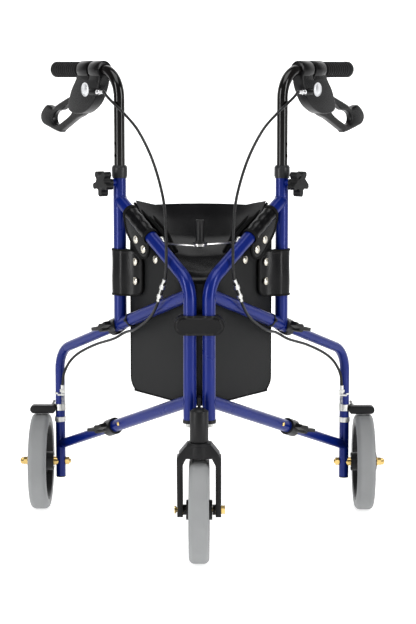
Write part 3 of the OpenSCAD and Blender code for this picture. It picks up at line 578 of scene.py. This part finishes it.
# %% Wind the springs with Geometry Nodes
def spring_tree():
    tree = bpy.data.node_groups.new("wire_spring", "GeometryNodeTree")
    face = tree.interface
    face.new_socket("Geometry", in_out="INPUT", socket_type="NodeSocketGeometry")
    for label, kind in (
        ("Turns", "NodeSocketFloat"), ("Coil Radius", "NodeSocketFloat"),
        ("Height", "NodeSocketFloat"), ("Wire Radius", "NodeSocketFloat"),
        ("Finish", "NodeSocketMaterial"),
    ):
        face.new_socket(label, in_out="INPUT", socket_type=kind)
    face.new_socket("Geometry", in_out="OUTPUT", socket_type="NodeSocketGeometry")
    given = tree.nodes.new("NodeGroupInput")
    result = tree.nodes.new("NodeGroupOutput")
    helix = tree.nodes.new("GeometryNodeCurveSpiral")
    helix.inputs["Resolution"].default_value = 20
    wire = tree.nodes.new("GeometryNodeCurvePrimitiveCircle")
    wire.inputs["Resolution"].default_value = 10
    solid = tree.nodes.new("GeometryNodeCurveToMesh")
    real = tree.nodes.new("GeometryNodeRealizeInstances")
    cover = tree.nodes.new("GeometryNodeSetMaterial")
    join = tree.links.new
    join(given.outputs["Turns"], helix.inputs["Rotations"])
    join(given.outputs["Coil Radius"], helix.inputs["Start Radius"])
    join(given.outputs["Coil Radius"], helix.inputs["End Radius"])
    join(given.outputs["Height"], helix.inputs["Height"])
    join(given.outputs["Wire Radius"], wire.inputs["Radius"])
    join(helix.outputs["Curve"], solid.inputs["Curve"])
    join(wire.outputs["Curve"], solid.inputs["Profile Curve"])
    join(solid.outputs["Mesh"], real.inputs["Geometry"])
    join(real.outputs["Geometry"], cover.inputs["Geometry"])
    join(given.outputs["Finish"], cover.inputs["Material"])
    join(cover.outputs["Geometry"], result.inputs["Geometry"])
    return tree


def socket_ids(tree):
    return {i.name: i.identifier for i in tree.interface.items_tree if i.in_out == "INPUT"}


def run_nodes(name, tree, values, base=None):
    start = bpy.data.objects.new(name + "_seed", base or bpy.data.meshes.new(name + "_seed"))
    bpy.context.scene.collection.objects.link(start)
    nodes = start.modifiers.new("nodes", "NODES")
    nodes.node_group = tree
    ids = socket_ids(tree)
    for label, value in values.items():
        nodes[ids[label]] = value
    bpy.context.view_layer.update()
    shape = start.evaluated_get(bpy.context.evaluated_depsgraph_get())
    mesh = bpy.data.meshes.new_from_object(shape)
    bpy.data.objects.remove(start)
    return mesh


SPRING = spring_tree()
for name, s in SIDES.items():
    wound = run_nodes(name + "_spring", SPRING, {
        "Turns": 11.0, "Coil Radius": 0.0031, "Height": 0.0275, "Wire Radius": 0.00062,
        "Finish": PAINTS["zinc"],
    })
    wound.transform(leg_place(s) @ shift(-7, -16, 190))
    spring = dress(name + "_wire_spring", wound, "zinc", name + "_side")
    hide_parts(name + "_brake_spring")
print("springs of", len(wound.polygons), "faces")

# %% [markdown]
# ## Lock bar hardware and weld beads
#
# Small domed nuts cap the pivots of the lock bars. Where one tube meets another, the
# welder leaves a rippled bead, and paint flows over it. A thin ring of the frame's colour
# along the joint is enough to catch that highlight.

# %% Nuts, washers and beads
DOME = [
    (0, 8.2), (2.2, 7.9), (4.0, 7.0), (5.0, 5.6), (5.3, 4.0), (5.3, 3.6), (6.4, 3.4),
    (6.4, 1.4), (8.8, 1.2), (8.8, 0), (0, 0),
]
LOCK_IN = 21
LOCK_U = 114
BAR_TOP = 530.9
BAR_UNDER = 522.9
for name, s in SIDES.items():
    pivot = side_place(s) @ shift(-LOCK_IN, LOCK_U, BAR_TOP)
    lathe(name + "_dome_nut", DOME, pivot, "zinc", name + "_side", 32)
    under = side_place(s) @ shift(-LOCK_IN, LOCK_U, BAR_UNDER) @ turned(180, "X")
    lathe(name + "_under_nut", DOME, under, "zinc", name + "_side", 32)


def meeting_curve(z0, slope, r, post_u, post_r, near):
    path = []
    for k in range(64):
        a = math.tau * k / 64
        w, c = r * math.sin(a), r * math.cos(a)
        u = post_u + near * math.sqrt(max(0.0, post_r ** 2 - w ** 2))
        t = (u + c * math.sin(slope)) / math.cos(slope)
        path.append(Vector((w, u, z0 + t * math.sin(slope) + c * math.cos(slope))))
    return path


JOINTS = (
    ("top", DIAGONAL_Z, SLOPE, 11.1, UPRIGHT_U, 11.4, -1),
    ("upper", UPPER_Z, -ARM_SLOPE, 10.9, 0, 11.1, 1),
    ("lower", LOWER_Z, -ARM_SLOPE, 10.9, 0, 11.1, 1),
    ("foot", UPPER_Z, -ARM_SLOPE, 10.9, UPRIGHT_U, 11.4, -1),
)
for name, s in SIDES.items():
    for part, z0, slope, r, post_u, post_r, near in JOINTS:
        path = meeting_curve(z0, slope, r, post_u, post_r, near)
        verts, faces = sweep(path, round_section(1.3, 8), closed=True)
        keep_mesh(f"{name}_bead_{part}", verts, faces, side_place(s), "frame_paint", name + "_side", 60.0)
print("nuts and beads")

# %% [markdown]
# The lock bars meet under a short pull tube, open at the top. Pulling it up breaks the
# bars' straight line, and the walker can then fold. Black bushings keep the front wheel
# in the middle of its fork.

# %% Pull tube and bushings
PULL = [
    (0, -8), (3.0, -8), (3.0, 0), (11.6, 0), (12.0, 0.4), (12.0, 2.2), (11.4, 2.6), (8.2, 2.9),
    (7.2, 5.0), (7.0, 37.6), (7.3, 39.4), (6.8, 40.0), (5.6, 40.0), (5.3, 39.0), (5.3, 18), (0, 18),
]
pull_place = shift(0, POST_Y + 68.1, 531.2)
pull = lathe("pull_tube", PULL, pull_place, "black_plastic", "right_lock_link", 48)
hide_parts("lock_handle")
BUSH = [(4.2, 0), (8.2, 0), (8.9, 0.5), (8.9, 4.6), (8.2, 5.1), (4.2, 5.1), (4.2, 0)]
for part, turn in (("right", -90), ("left", 90)):
    hub_end = shift(0, POST_Y - 22, WHEEL_R) @ turned(turn, "Y") @ shift(0, 0, 22.3)
    lathe("front_bushing_" + part, BUSH, hub_end, "black_plastic", "caster", 36)
print("pull tube and bushings")

# %% [markdown]
# ## The bag
#
# Two stiff boards hang beside the frames and fold with them. Supple vinyl closes the
# front, the bottom and the back between them, and a zipped flap covers the top. A board is
# cut with rounded lower corners, and a cord sewn into its edge keeps that edge from
# fraying.

# %% Side boards with piped edges
def board_outline():
    front, rear, low = 20, 200.4, 260
    top = 11.1 / math.cos(SLOPE) + 7
    points = [(front, low), (150, low)]
    for k in range(9):
        a = math.radians(-90 + 90 * k / 8)
        points.append((rear - 24 + 24 * math.cos(a), low + 24 + 24 * math.sin(a)))
    points += [(rear, 420), (rear, diagonal_z(rear) - top), (110, diagonal_z(110) - top)]
    points.append((front, diagonal_z(front) - top))
    return points


BOARD = board_outline()
for name, s in SIDES.items():
    plane = side_place(s) @ shift(-15.5, 0, 0) @ UP_IN_PLANE
    board = moulding(name + "_board", [BOARD], 3.0, 0.8, plane, "bag_board", name + "_side", 2)
    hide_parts(name + "_bag_panel")
    rim = [Vector((u, z, 0.4)) for u, z in BOARD]
    dense = []
    for a, b in zip(rim, rim[1:] + rim[:1]):
        n = max(1, round((b - a).length / 5))
        dense += [a.lerp(b, k / n) for k in range(n)]
    verts, faces = sweep(dense, round_section(1.9, 8), closed=True)
    keep_mesh(name + "_piping", verts, faces, plane, "binding", name + "_side")
print("two boards")

# %% [markdown]
# The vinyl between the boards is loose, so it bows a little and wrinkles. Each wall is
# drawn as a grid between its two edges. Slow waves give the sag, and small ones the
# creases.

# %% Vinyl walls and the top flap
BAG_FRONT = 30.0
BAG_REAR = UPRIGHT_U * math.cos(HALF_ANGLE) - 2


def bag_half(y):
    w = 17.0
    u = (y - w * math.sin(HALF_ANGLE)) / math.cos(HALF_ANGLE)
    return POST_X - w * math.cos(HALF_ANGLE) + u * math.sin(HALF_ANGLE) - 1.5


def crease(a, b):
    slow = math.sin(a * 0.045 + 1.3) * math.sin(b * 0.038 + 0.4)
    fine = math.sin(a * 0.13 + b * 0.07) * math.sin(b * 0.11 - a * 0.03 + 2.0)
    return 1.2 * slow + 0.5 * fine


def vinyl(name, columns, rows, shape, thick):
    verts = []
    faces = []
    for layer in (0, 1):
        for i in range(rows + 1):
            for k in range(columns + 1):
                p, n = shape(k / columns, i / rows)
                verts.append(tuple(Vector(p) + Vector(n) * (thick * (layer - 0.5))))
    m = columns + 1
    page = m * (rows + 1)
    for i in range(rows):
        for k in range(columns):
            a = i * m + k
            faces.append((a, a + 1, a + m + 1, a + m))
            faces.append((page + a, page + a + m, page + a + m + 1, page + a + 1))
    edge = [k for k in range(m)]
    edge += [i * m + columns for i in range(1, rows + 1)]
    edge += [rows * m + k for k in range(columns - 1, -1, -1)]
    edge += [i * m for i in range(rows - 1, 0, -1)]
    for a, b in zip(edge, edge[1:] + edge[:1]):
        faces.append((a, b, page + b, page + a))
    return keep_mesh(name, verts, faces, half_place(LEFT), "bag_vinyl", "root", 60.0)


TOP_LINE = [
    (24, 458), (30, 474), (50, 485), (78, 496), (106, 507), (136, 531), (156, 566),
    (BAG_REAR - 2, 588),
]


def top_z(y):
    for (y0, z0), (y1, z1) in zip(TOP_LINE, TOP_LINE[1:]):
        if y <= y1:
            return z0 + (z1 - z0) * (y - y0) / (y1 - y0)
    return TOP_LINE[-1][1]


def back_wall(a, b):
    x = (2 * a - 1) * bag_half(BAG_REAR)
    arch = 4.5 * math.cos((2 * a - 1) * math.pi / 2)
    z = 258 + (bag_top_edge(arch) - 258) * b
    bow = 5 * math.sin(math.pi * a) * math.sin(math.pi * b)
    return (x, BAG_REAR - 1.5 - bow + crease(x, z), z), (0, 1, 0)


def bag_top_edge(arch):
    return 587.0 + arch


def front_wall(a, b):
    x = (2 * a - 1) * bag_half(BAG_FRONT)
    z = 258 + 212 * b
    return (x, BAG_FRONT + 1.5 + 0.5 * crease(x, z), z), (0, 1, 0)


def bottom(a, b):
    y = BAG_FRONT + (BAG_REAR - BAG_FRONT) * b
    x = (2 * a - 1) * bag_half(y)
    sag = -1.6 * math.sin(math.pi * a) * math.sin(math.pi * b)
    return (x, y, 257.5 + sag + 0.3 * crease(x, y)), (0, 0, 1)


EDGE_LIFT = [(26, 0), (103, 0), (112, 8), (123, 18), (138, 22), (152, 18), (165, 12), (176, 3)]


def edge_lift(y):
    for (y0, h0), (y1, h1) in zip(EDGE_LIFT, EDGE_LIFT[1:]):
        if y <= y1:
            return h0 + (h1 - h0) * (y - y0) / (y1 - y0)
    return 0.0


def flap(a, b):
    y = 26 + (BAG_REAR - 4 - 26) * b
    x = (2 * a - 1) * (bag_half(max(y, BAG_FRONT)) - 1)
    dip = -3.5 * math.sin(math.pi * a) * math.sin(math.pi * b)
    arch = 4.5 * math.cos((2 * a - 1) * math.pi / 2) * max(0.0, b - 0.7) / 0.3
    rim = max(0.0, (abs(2 * a - 1) - 0.5) / 0.5) ** 1.4
    lift = edge_lift(y) * rim
    return (x, y, top_z(y) + dip + arch + lift + 0.9 * crease(x, y)), (0, -0.45, 0.89)


MAKES = (
    ("bag_back", 34, 44, back_wall), ("bag_front_strip", 8, 34, front_wall),
    ("bag_bottom", 26, 22, bottom), ("bag_top_flap", 44, 44, flap),
)
for name, columns, rows, shape in MAKES:
    wall = vinyl(name, columns, rows, shape, 1.4)
    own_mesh(wall)
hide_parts("bag_shell")
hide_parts("bag_flap")

# %% [markdown]
# ## Rows of stitches and zip teeth
#
# Stitches and zip teeth repeat at an even pitch along a line. One Geometry Nodes tree
# serves both. It spaces points along a line, turns a small rounded bar to follow it at
# each point, and varies each bar's length a little, as hand-guided sewing does.

# %% One tree for every repeated row
def row_tree():
    tree = bpy.data.node_groups.new("row_along_line", "GeometryNodeTree")
    face = tree.interface
    face.new_socket("Geometry", in_out="INPUT", socket_type="NodeSocketGeometry")
    for label, kind in (
        ("Pitch", "NodeSocketFloat"), ("Bar Length", "NodeSocketFloat"),
        ("Bar Width", "NodeSocketFloat"), ("Bar Height", "NodeSocketFloat"),
        ("Seed", "NodeSocketInt"), ("Finish", "NodeSocketMaterial"),
    ):
        face.new_socket(label, in_out="INPUT", socket_type=kind)
    face.new_socket("Geometry", in_out="OUTPUT", socket_type="NodeSocketGeometry")
    new = tree.nodes.new
    join = tree.links.new
    given = new("NodeGroupInput")
    result = new("NodeGroupOutput")
    line = new("GeometryNodeMeshToCurve")
    spaced = new("GeometryNodeCurveToPoints")
    spaced.mode = "LENGTH"
    bar = new("GeometryNodeMeshUVSphere")
    bar.inputs["Segments"].default_value = 8
    bar.inputs["Rings"].default_value = 6
    bar.inputs["Radius"].default_value = 0.5
    placed = new("GeometryNodeInstanceOnPoints")
    size = new("ShaderNodeCombineXYZ")
    wobble = new("FunctionNodeRandomValue")
    wobble.data_type = "FLOAT"
    wobble.inputs["Min"].default_value = 0.88
    wobble.inputs["Max"].default_value = 1.08
    longer = new("ShaderNodeMath")
    longer.operation = "MULTIPLY"
    floats = [i for i in wobble.inputs if i.name in ("Min", "Max") and i.type == "VALUE"]
    for socket, value in zip(floats, (0.88, 1.08)):
        socket.default_value = value
    real = new("GeometryNodeRealizeInstances")
    cover = new("GeometryNodeSetMaterial")
    join(given.outputs["Geometry"], line.inputs["Mesh"])
    join(line.outputs["Curve"], spaced.inputs["Curve"])
    join(given.outputs["Pitch"], spaced.inputs["Length"])
    join(spaced.outputs["Points"], placed.inputs["Points"])
    join(spaced.outputs["Rotation"], placed.inputs["Rotation"])
    join(bar.outputs["Mesh"], placed.inputs["Instance"])
    join(given.outputs["Seed"], wobble.inputs["Seed"])
    rolled = [o for o in wobble.outputs if o.type == "VALUE"][0]
    join(rolled, longer.inputs[0])
    join(given.outputs["Bar Length"], longer.inputs[1])
    join(given.outputs["Bar Width"], size.inputs["X"])
    join(given.outputs["Bar Height"], size.inputs["Y"])
    join(longer.outputs["Value"], size.inputs["Z"])
    join(size.outputs["Vector"], placed.inputs["Scale"])
    join(placed.outputs["Instances"], real.inputs["Geometry"])
    join(real.outputs["Geometry"], cover.inputs["Geometry"])
    join(given.outputs["Finish"], cover.inputs["Material"])
    join(cover.outputs["Geometry"], result.inputs["Geometry"])
    return tree


ROW = row_tree()


def row(name, path, place, body, cover, pitch, long, wide, high, seed):
    base = bpy.data.meshes.new(name + "_line")
    points = [tuple(place @ (Vector(p) * MM)) for p in path]
    base.from_pydata(points, [(i, i + 1) for i in range(len(points) - 1)], [])
    made = run_nodes(name, ROW, {
        "Pitch": pitch * MM, "Bar Length": long * MM, "Bar Width": wide * MM,
        "Bar Height": high * MM, "Seed": seed, "Finish": PAINTS[cover],
    }, base)
    return dress(name, made, cover, body)


print("the row tree has", len(ROW.nodes), "nodes")

# %% [markdown]
# ## Sleeves on the diagonals
#
# The bag hangs from a sleeve wrapped round each diagonal tube. Both of its ends are bound
# with tape. Below the tube it closes as a rounded tab, with two press studs.

# %% Sleeves and tabs
SLEEVE_START = 115.0
SLEEVE_END = 180.0
TAB = [
    (187, 574), (189, 558), (181, 540), (162, 520), (145, 506), (133, 501.5), (121, 506),
    (115.5, 518), (119, 534), (127, 548),
]


def sleeve_profile(length):
    profile = [(11.2, 0)]
    for k in range(25):
        t = k / 24
        slack = 0.35 * math.sin(7 * math.pi * t) + 0.5 * math.sin(math.pi * t)
        profile.append((12.7 + slack, length * t))
    return profile + [(11.2, length), (11.2, 0)]


for seed, (name, s) in enumerate(SIDES.items()):
    length = (SLEEVE_END - SLEEVE_START) / math.cos(SLOPE)
    along = side_place(s) @ shift(0, SLEEVE_START, diagonal_z(SLEEVE_START)) @ turned(-90 + 31, "X")
    lathe(name + "_sleeve", sleeve_profile(length), along, "bag_vinyl", name + "_side", 48)
    for part, h in (("low", 2.5), ("high", length - 2.5)):
        turns = [math.tau * k / 48 for k in range(48)]
        ring = [Vector((13.2 * math.cos(a), 13.2 * math.sin(a), h)) for a in turns]
        tape = [(-0.8, -3.2), (0.8, -3.2), (1.0, 0), (0.8, 3.2), (-0.8, 3.2)]
        verts, faces = sweep(ring, tape, closed=True)
        keep_mesh(f"{name}_sleeve_{part}_tape", verts, faces, along, "binding", name + "_side")
    plane = side_place(s) @ shift(3.6, 0, 0) @ UP_IN_PLANE
    outline = soft_outline(TAB, 2.5)
    moulding(name + "_tab", [outline], 2.4, 0.7, plane, "bag_vinyl", name + "_side", 2)
    rim = [Vector((u, z, 0.0)) for u, z in outline]
    verts, faces = sweep(rim, [(-1.7, -1.9), (1.7, -1.9), (1.7, 1.9), (-1.7, 1.9)], closed=True)
    keep_mesh(name + "_tab_tape", verts, faces, plane, "binding", name + "_side")
    middle = sum((v for v in rim), Vector()) / len(rim)
    inside = [v + (middle - v).normalized() * 4.0 for v in rim]
    seam = [(v.x, v.y, 1.4) for v in inside]
    row(name + "_tab_stitches", seam, plane, name + "_side", "thread", 3.0, 2.3, 0.55, 0.5, seed)
print("sleeves and tabs")

# %% [markdown]
# ## Straps round the uprights
#
# A second strap on each side is taken round the upright and pressed shut in front. It is
# one strip that leaves the board, wraps the tube and comes back over itself. Its free end
# has rounded corners.

# %% Wrapped straps
def strap_line():
    path = [(-13.4, 190), (-13.6, 202)]
    for k in range(17):
        a = math.radians(-90 + 205 * k / 16)
        path.append((13.7 * math.sin(a), UPRIGHT_U + 13.7 * math.cos(a)))
    path += [(9.6, 197), (3.2, 190), (-2.6, 182), (-6.4, 174), (-8.4, 165), (-9.0, 156)]
    return [(p.x, p.y) for p in smooth_path([(w, u, 0) for w, u in path], 3.0)]


def strap_top(u, free):
    if not free or u > 184:
        return 510.0
    return 510.0 - 24 * (1 - math.sqrt(max(0.0, 1 - ((184 - u) / 28.4) ** 2)))


def strap_foot(u, free):
    if not free or u > 174:
        return 431.0
    return 431.0 + 17 * (1 - math.sqrt(max(0.0, 1 - ((174 - u) / 18.4) ** 2)))


STRAP = strap_line()
TURN = max(range(len(STRAP)), key=lambda i: STRAP[i][1])
for seed, (name, s) in enumerate(SIDES.items()):
    verts = []
    faces = []
    rows = 14
    for layer in (0, 1):
        for i, (w, u) in enumerate(STRAP):
            a = STRAP[max(i - 1, 0)]
            b = STRAP[min(i + 1, len(STRAP) - 1)]
            run = Vector((b[0] - a[0], b[1] - a[1])).normalized()
            free = i > TURN
            top, foot = strap_top(u, free), strap_foot(u, free)
            for k in range(rows + 1):
                z = foot + (top - foot) * k / rows
                ripple = 0.35 * math.sin(z * 0.09 + u * 0.05)
                off = 0.75 * (1 if layer else -1) + ripple
                verts.append((w - run.y * off, u + run.x * off, z))
    m = rows + 1
    page = m * len(STRAP)
    for i in range(len(STRAP) - 1):
        for k in range(rows):
            a = i * m + k
            faces.append((a, a + 1, a + m + 1, a + m))
            faces.append((page + a, page + a + m, page + a + m + 1, page + a + 1))
    last = len(STRAP) - 1
    edge = [k for k in range(m)] + [i * m + rows for i in range(1, last + 1)]
    edge += [last * m + k for k in range(rows - 1, -1, -1)] + [i * m for i in range(last - 1, 0, -1)]
    for a, b in zip(edge, edge[1:] + edge[:1]):
        faces.append((a, b, page + b, page + a))
    side = side_place(s)
    keep_mesh(name + "_strap", verts, faces, side, "bag_vinyl", name + "_side", 60.0)
    free_part = STRAP[TURN:]
    top_edge = [Vector((w, u, strap_top(u, True))) for w, u in free_part]
    foot_edge = [Vector((w, u, strap_foot(u, True))) for w, u in reversed(free_part)]
    tape = top_edge + foot_edge
    verts, faces = sweep(tape, [(-1.5, -1.5), (1.5, -1.5), (1.5, 1.5), (-1.5, 1.5)])
    keep_mesh(name + "_strap_tape", verts, faces, side, "binding", name + "_side")
    seam = [(w + 1.2, u, strap_top(u, True) - 4.5) for w, u in free_part if u < 198]
    row(name + "_strap_stitches", seam, side, name + "_side", "thread", 3.0, 2.3, 0.55, 0.5, 10 + seed)
print("straps of", len(STRAP), "steps")

# %% [markdown]
# ## Press studs
#
# A stud's cap is a pressed metal dome with a rolled rim. All of them are the same stamping,
# so one tree copies a single cap to every point where the bag needs one.

# %% Copy one stud to every point
CAP = [(0, 3.0), (2.6, 2.8), (4.6, 2.1), (5.6, 1.2), (6.0, 1.3), (6.7, 1.1), (7.0, 0.5), (6.9, 0), (0, 0)]


def stud_tree():
    tree = bpy.data.node_groups.new("studs_on_points", "GeometryNodeTree")
    face = tree.interface
    face.new_socket("Geometry", in_out="INPUT", socket_type="NodeSocketGeometry")
    face.new_socket("Cap", in_out="INPUT", socket_type="NodeSocketObject")
    face.new_socket("Finish", in_out="INPUT", socket_type="NodeSocketMaterial")
    face.new_socket("Geometry", in_out="OUTPUT", socket_type="NodeSocketGeometry")
    given = tree.nodes.new("NodeGroupInput")
    result = tree.nodes.new("NodeGroupOutput")
    cap = tree.nodes.new("GeometryNodeObjectInfo")
    placed = tree.nodes.new("GeometryNodeInstanceOnPoints")
    real = tree.nodes.new("GeometryNodeRealizeInstances")
    cover = tree.nodes.new("GeometryNodeSetMaterial")
    join = tree.links.new
    join(given.outputs["Cap"], cap.inputs["Object"])
    join(given.outputs["Geometry"], placed.inputs["Points"])
    join(cap.outputs["Geometry"], placed.inputs["Instance"])
    join(placed.outputs["Instances"], real.inputs["Geometry"])
    join(real.outputs["Geometry"], cover.inputs["Geometry"])
    join(given.outputs["Finish"], cover.inputs["Material"])
    join(cover.outputs["Geometry"], result.inputs["Geometry"])
    return tree


STUDS = stud_tree()
POINTS = [
    (154, 532, 5.0), (131, 517, 5.0), (121, 499, -13.4), (173, 491, -5.4), (173, 457, -5.4),
]
for name, s in SIDES.items():
    cap = lathe(name + "_cap", CAP, Matrix.Identity(4), "snap_nickel", None, 32)
    base = bpy.data.meshes.new(name + "_stud_points")
    base.from_pydata([(u * MM, z * MM, w * MM) for u, z, w in POINTS], [], [])
    made = run_nodes(name + "_studs", STUDS, {"Cap": cap, "Finish": PAINTS["snap_nickel"]}, base)
    bpy.data.objects.remove(cap)
    made.transform(side_place(s) @ UP_IN_PLANE)
    fixed = bmesh.new()
    fixed.from_mesh(made)
    bmesh.ops.recalc_face_normals(fixed, faces=fixed.faces)
    fixed.to_mesh(made)
    fixed.free()
    dress(name + "_studs", made, "snap_nickel", name + "_side")
print(len(POINTS), "studs a side")

# %% [markdown]
# ## Zips
#
# The flap opens along a zip just inside each diagonal. Piping guards it on both sides, and
# its moulded teeth form a third, finer rib between.

# %% Piping and teeth
ZIP = [(-20, 196, 590), (-24, 170, 572), (-28, 148, 556), (-32, 130, 541), (-34, 118, 524), (-34, 104, 511)]
for seed, (name, s) in enumerate(SIDES.items()):
    side = side_place(s)
    for k, (inward, radius) in enumerate(((0, 2.4), (-13, 2.2))):
        line = [(w + inward, u, z + 1.5) for w, u, z in ZIP]
        tube(f"{name}_zip_piping_{k}", line, radius, side, "binding", name + "_side")
    tape = smooth_path([(w - 6.5, u, z) for w, u, z in ZIP], 4.0)
    flat = [(-5.5, -0.5), (5.5, -0.5), (5.5, 0.5), (-5.5, 0.5)]
    verts, faces = sweep(tape, flat, up=(0, 0, 1))
    keep_mesh(name + "_zip_tape", verts, faces, side, "binding", name + "_side")
    teeth = [(p.x, p.y, p.z + 1.2) for p in tape]
    row(name + "_zip_teeth", teeth, side, name + "_side", "black_plastic", 2.1, 1.5, 4.2, 1.9, 20 + seed)
print("two zips")

# %% [markdown]
# Vinyl hardly stretches, so each piece can be traced back to a flat cut.

# %% [markdown]
# ## Studio
#
# The walker stands in a white cove: a floor that curves up into a wall, so there is no
# horizon. Tall soft boxes at both sides draw the long streaks down each tube. A wide one
# overhead fills in the rest.

# %% Cove, lights and camera
def cove():
    verts = []
    faces = []
    profile = [(-14.0, 0.0), (3.0, 0.0)]
    for k in range(1, 13):
        a = math.radians(90 * k / 12)
        profile.append((3.0 + 2.0 * math.sin(a), 2.0 - 2.0 * math.cos(a)))
    profile.append((5.0, 8.0))
    for y, z in profile:
        verts += [(-14.0, y, z), (14.0, y, z)]
    for i in range(len(profile) - 1):
        faces.append((2 * i, 2 * i + 1, 2 * i + 3, 2 * i + 2))
    mesh = bpy.data.meshes.new("cove")
    mesh.from_pydata(verts, [], faces)
    mesh.polygons.foreach_set("use_smooth", [True] * len(mesh.polygons))
    made = bpy.data.objects.new("cove", mesh)
    bpy.context.scene.collection.objects.link(made)
    return made


backdrop = cove()
wall_paint = paint("cove_white", (0.80, 0.80, 0.80), 0.95, wander=0.01)
glow = wall_paint.node_tree.nodes["Principled BSDF"]
glow.inputs["Emission Color"].default_value = (1.0, 1.0, 1.0, 1)
glow.inputs["Emission Strength"].default_value = 0.62
backdrop.data.materials.append(wall_paint)


def soft_box(name, at, towards, wide, tall, watts):
    data = bpy.data.lights.new(name, "AREA")
    data.shape = "RECTANGLE"
    data.size = wide
    data.size_y = tall
    data.energy = watts
    lamp = bpy.data.objects.new(name, data)
    lamp.location = at
    aim = Vector(towards) - Vector(at)
    lamp.rotation_euler = aim.to_track_quat("-Z", "Y").to_euler()
    bpy.context.scene.collection.objects.link(lamp)


soft_box("left_box", (-2.1, -1.7, 1.1), (0, 0, 0.5), 0.5, 2.4, 46)
soft_box("right_box", (2.1, -1.5, 1.2), (0, 0, 0.5), 0.5, 2.4, 40)
soft_box("top_box", (0, -0.6, 2.9), (0, 0.1, 0.4), 1.8, 1.8, 34)
soft_box("wall_left", (-2.4, 2.4, 1.6), (-0.4, 5.0, 1.0), 1.6, 2.4, 60)
soft_box("wall_right", (2.4, 2.4, 1.6), (0.4, 5.0, 1.0), 1.6, 2.4, 60)
world = bpy.data.worlds.new("studio")
world.use_nodes = True
world.node_tree.nodes["Background"].inputs["Color"].default_value = (1.0, 1.0, 1.0, 1)
world.node_tree.nodes["Background"].inputs["Strength"].default_value = 0.13
bpy.context.scene.world = world
bpy.context.scene.view_settings.view_transform = "Standard"

eye = bpy.data.cameras.new("eye")
eye.lens = 100.15
eye.sensor_width = 36.0
eye.shift_y = -0.0566
eye_place = bpy.data.objects.new("eye", eye)
eye_place.location = (0.0437, POST_Y * MM - 2.872, 0.8348)
eye_place.rotation_euler = (math.radians(83), 0.0, 0.0102)
bpy.context.scene.collection.objects.link(eye_place)
bpy.context.scene.camera = eye_place
print("studio is lit")
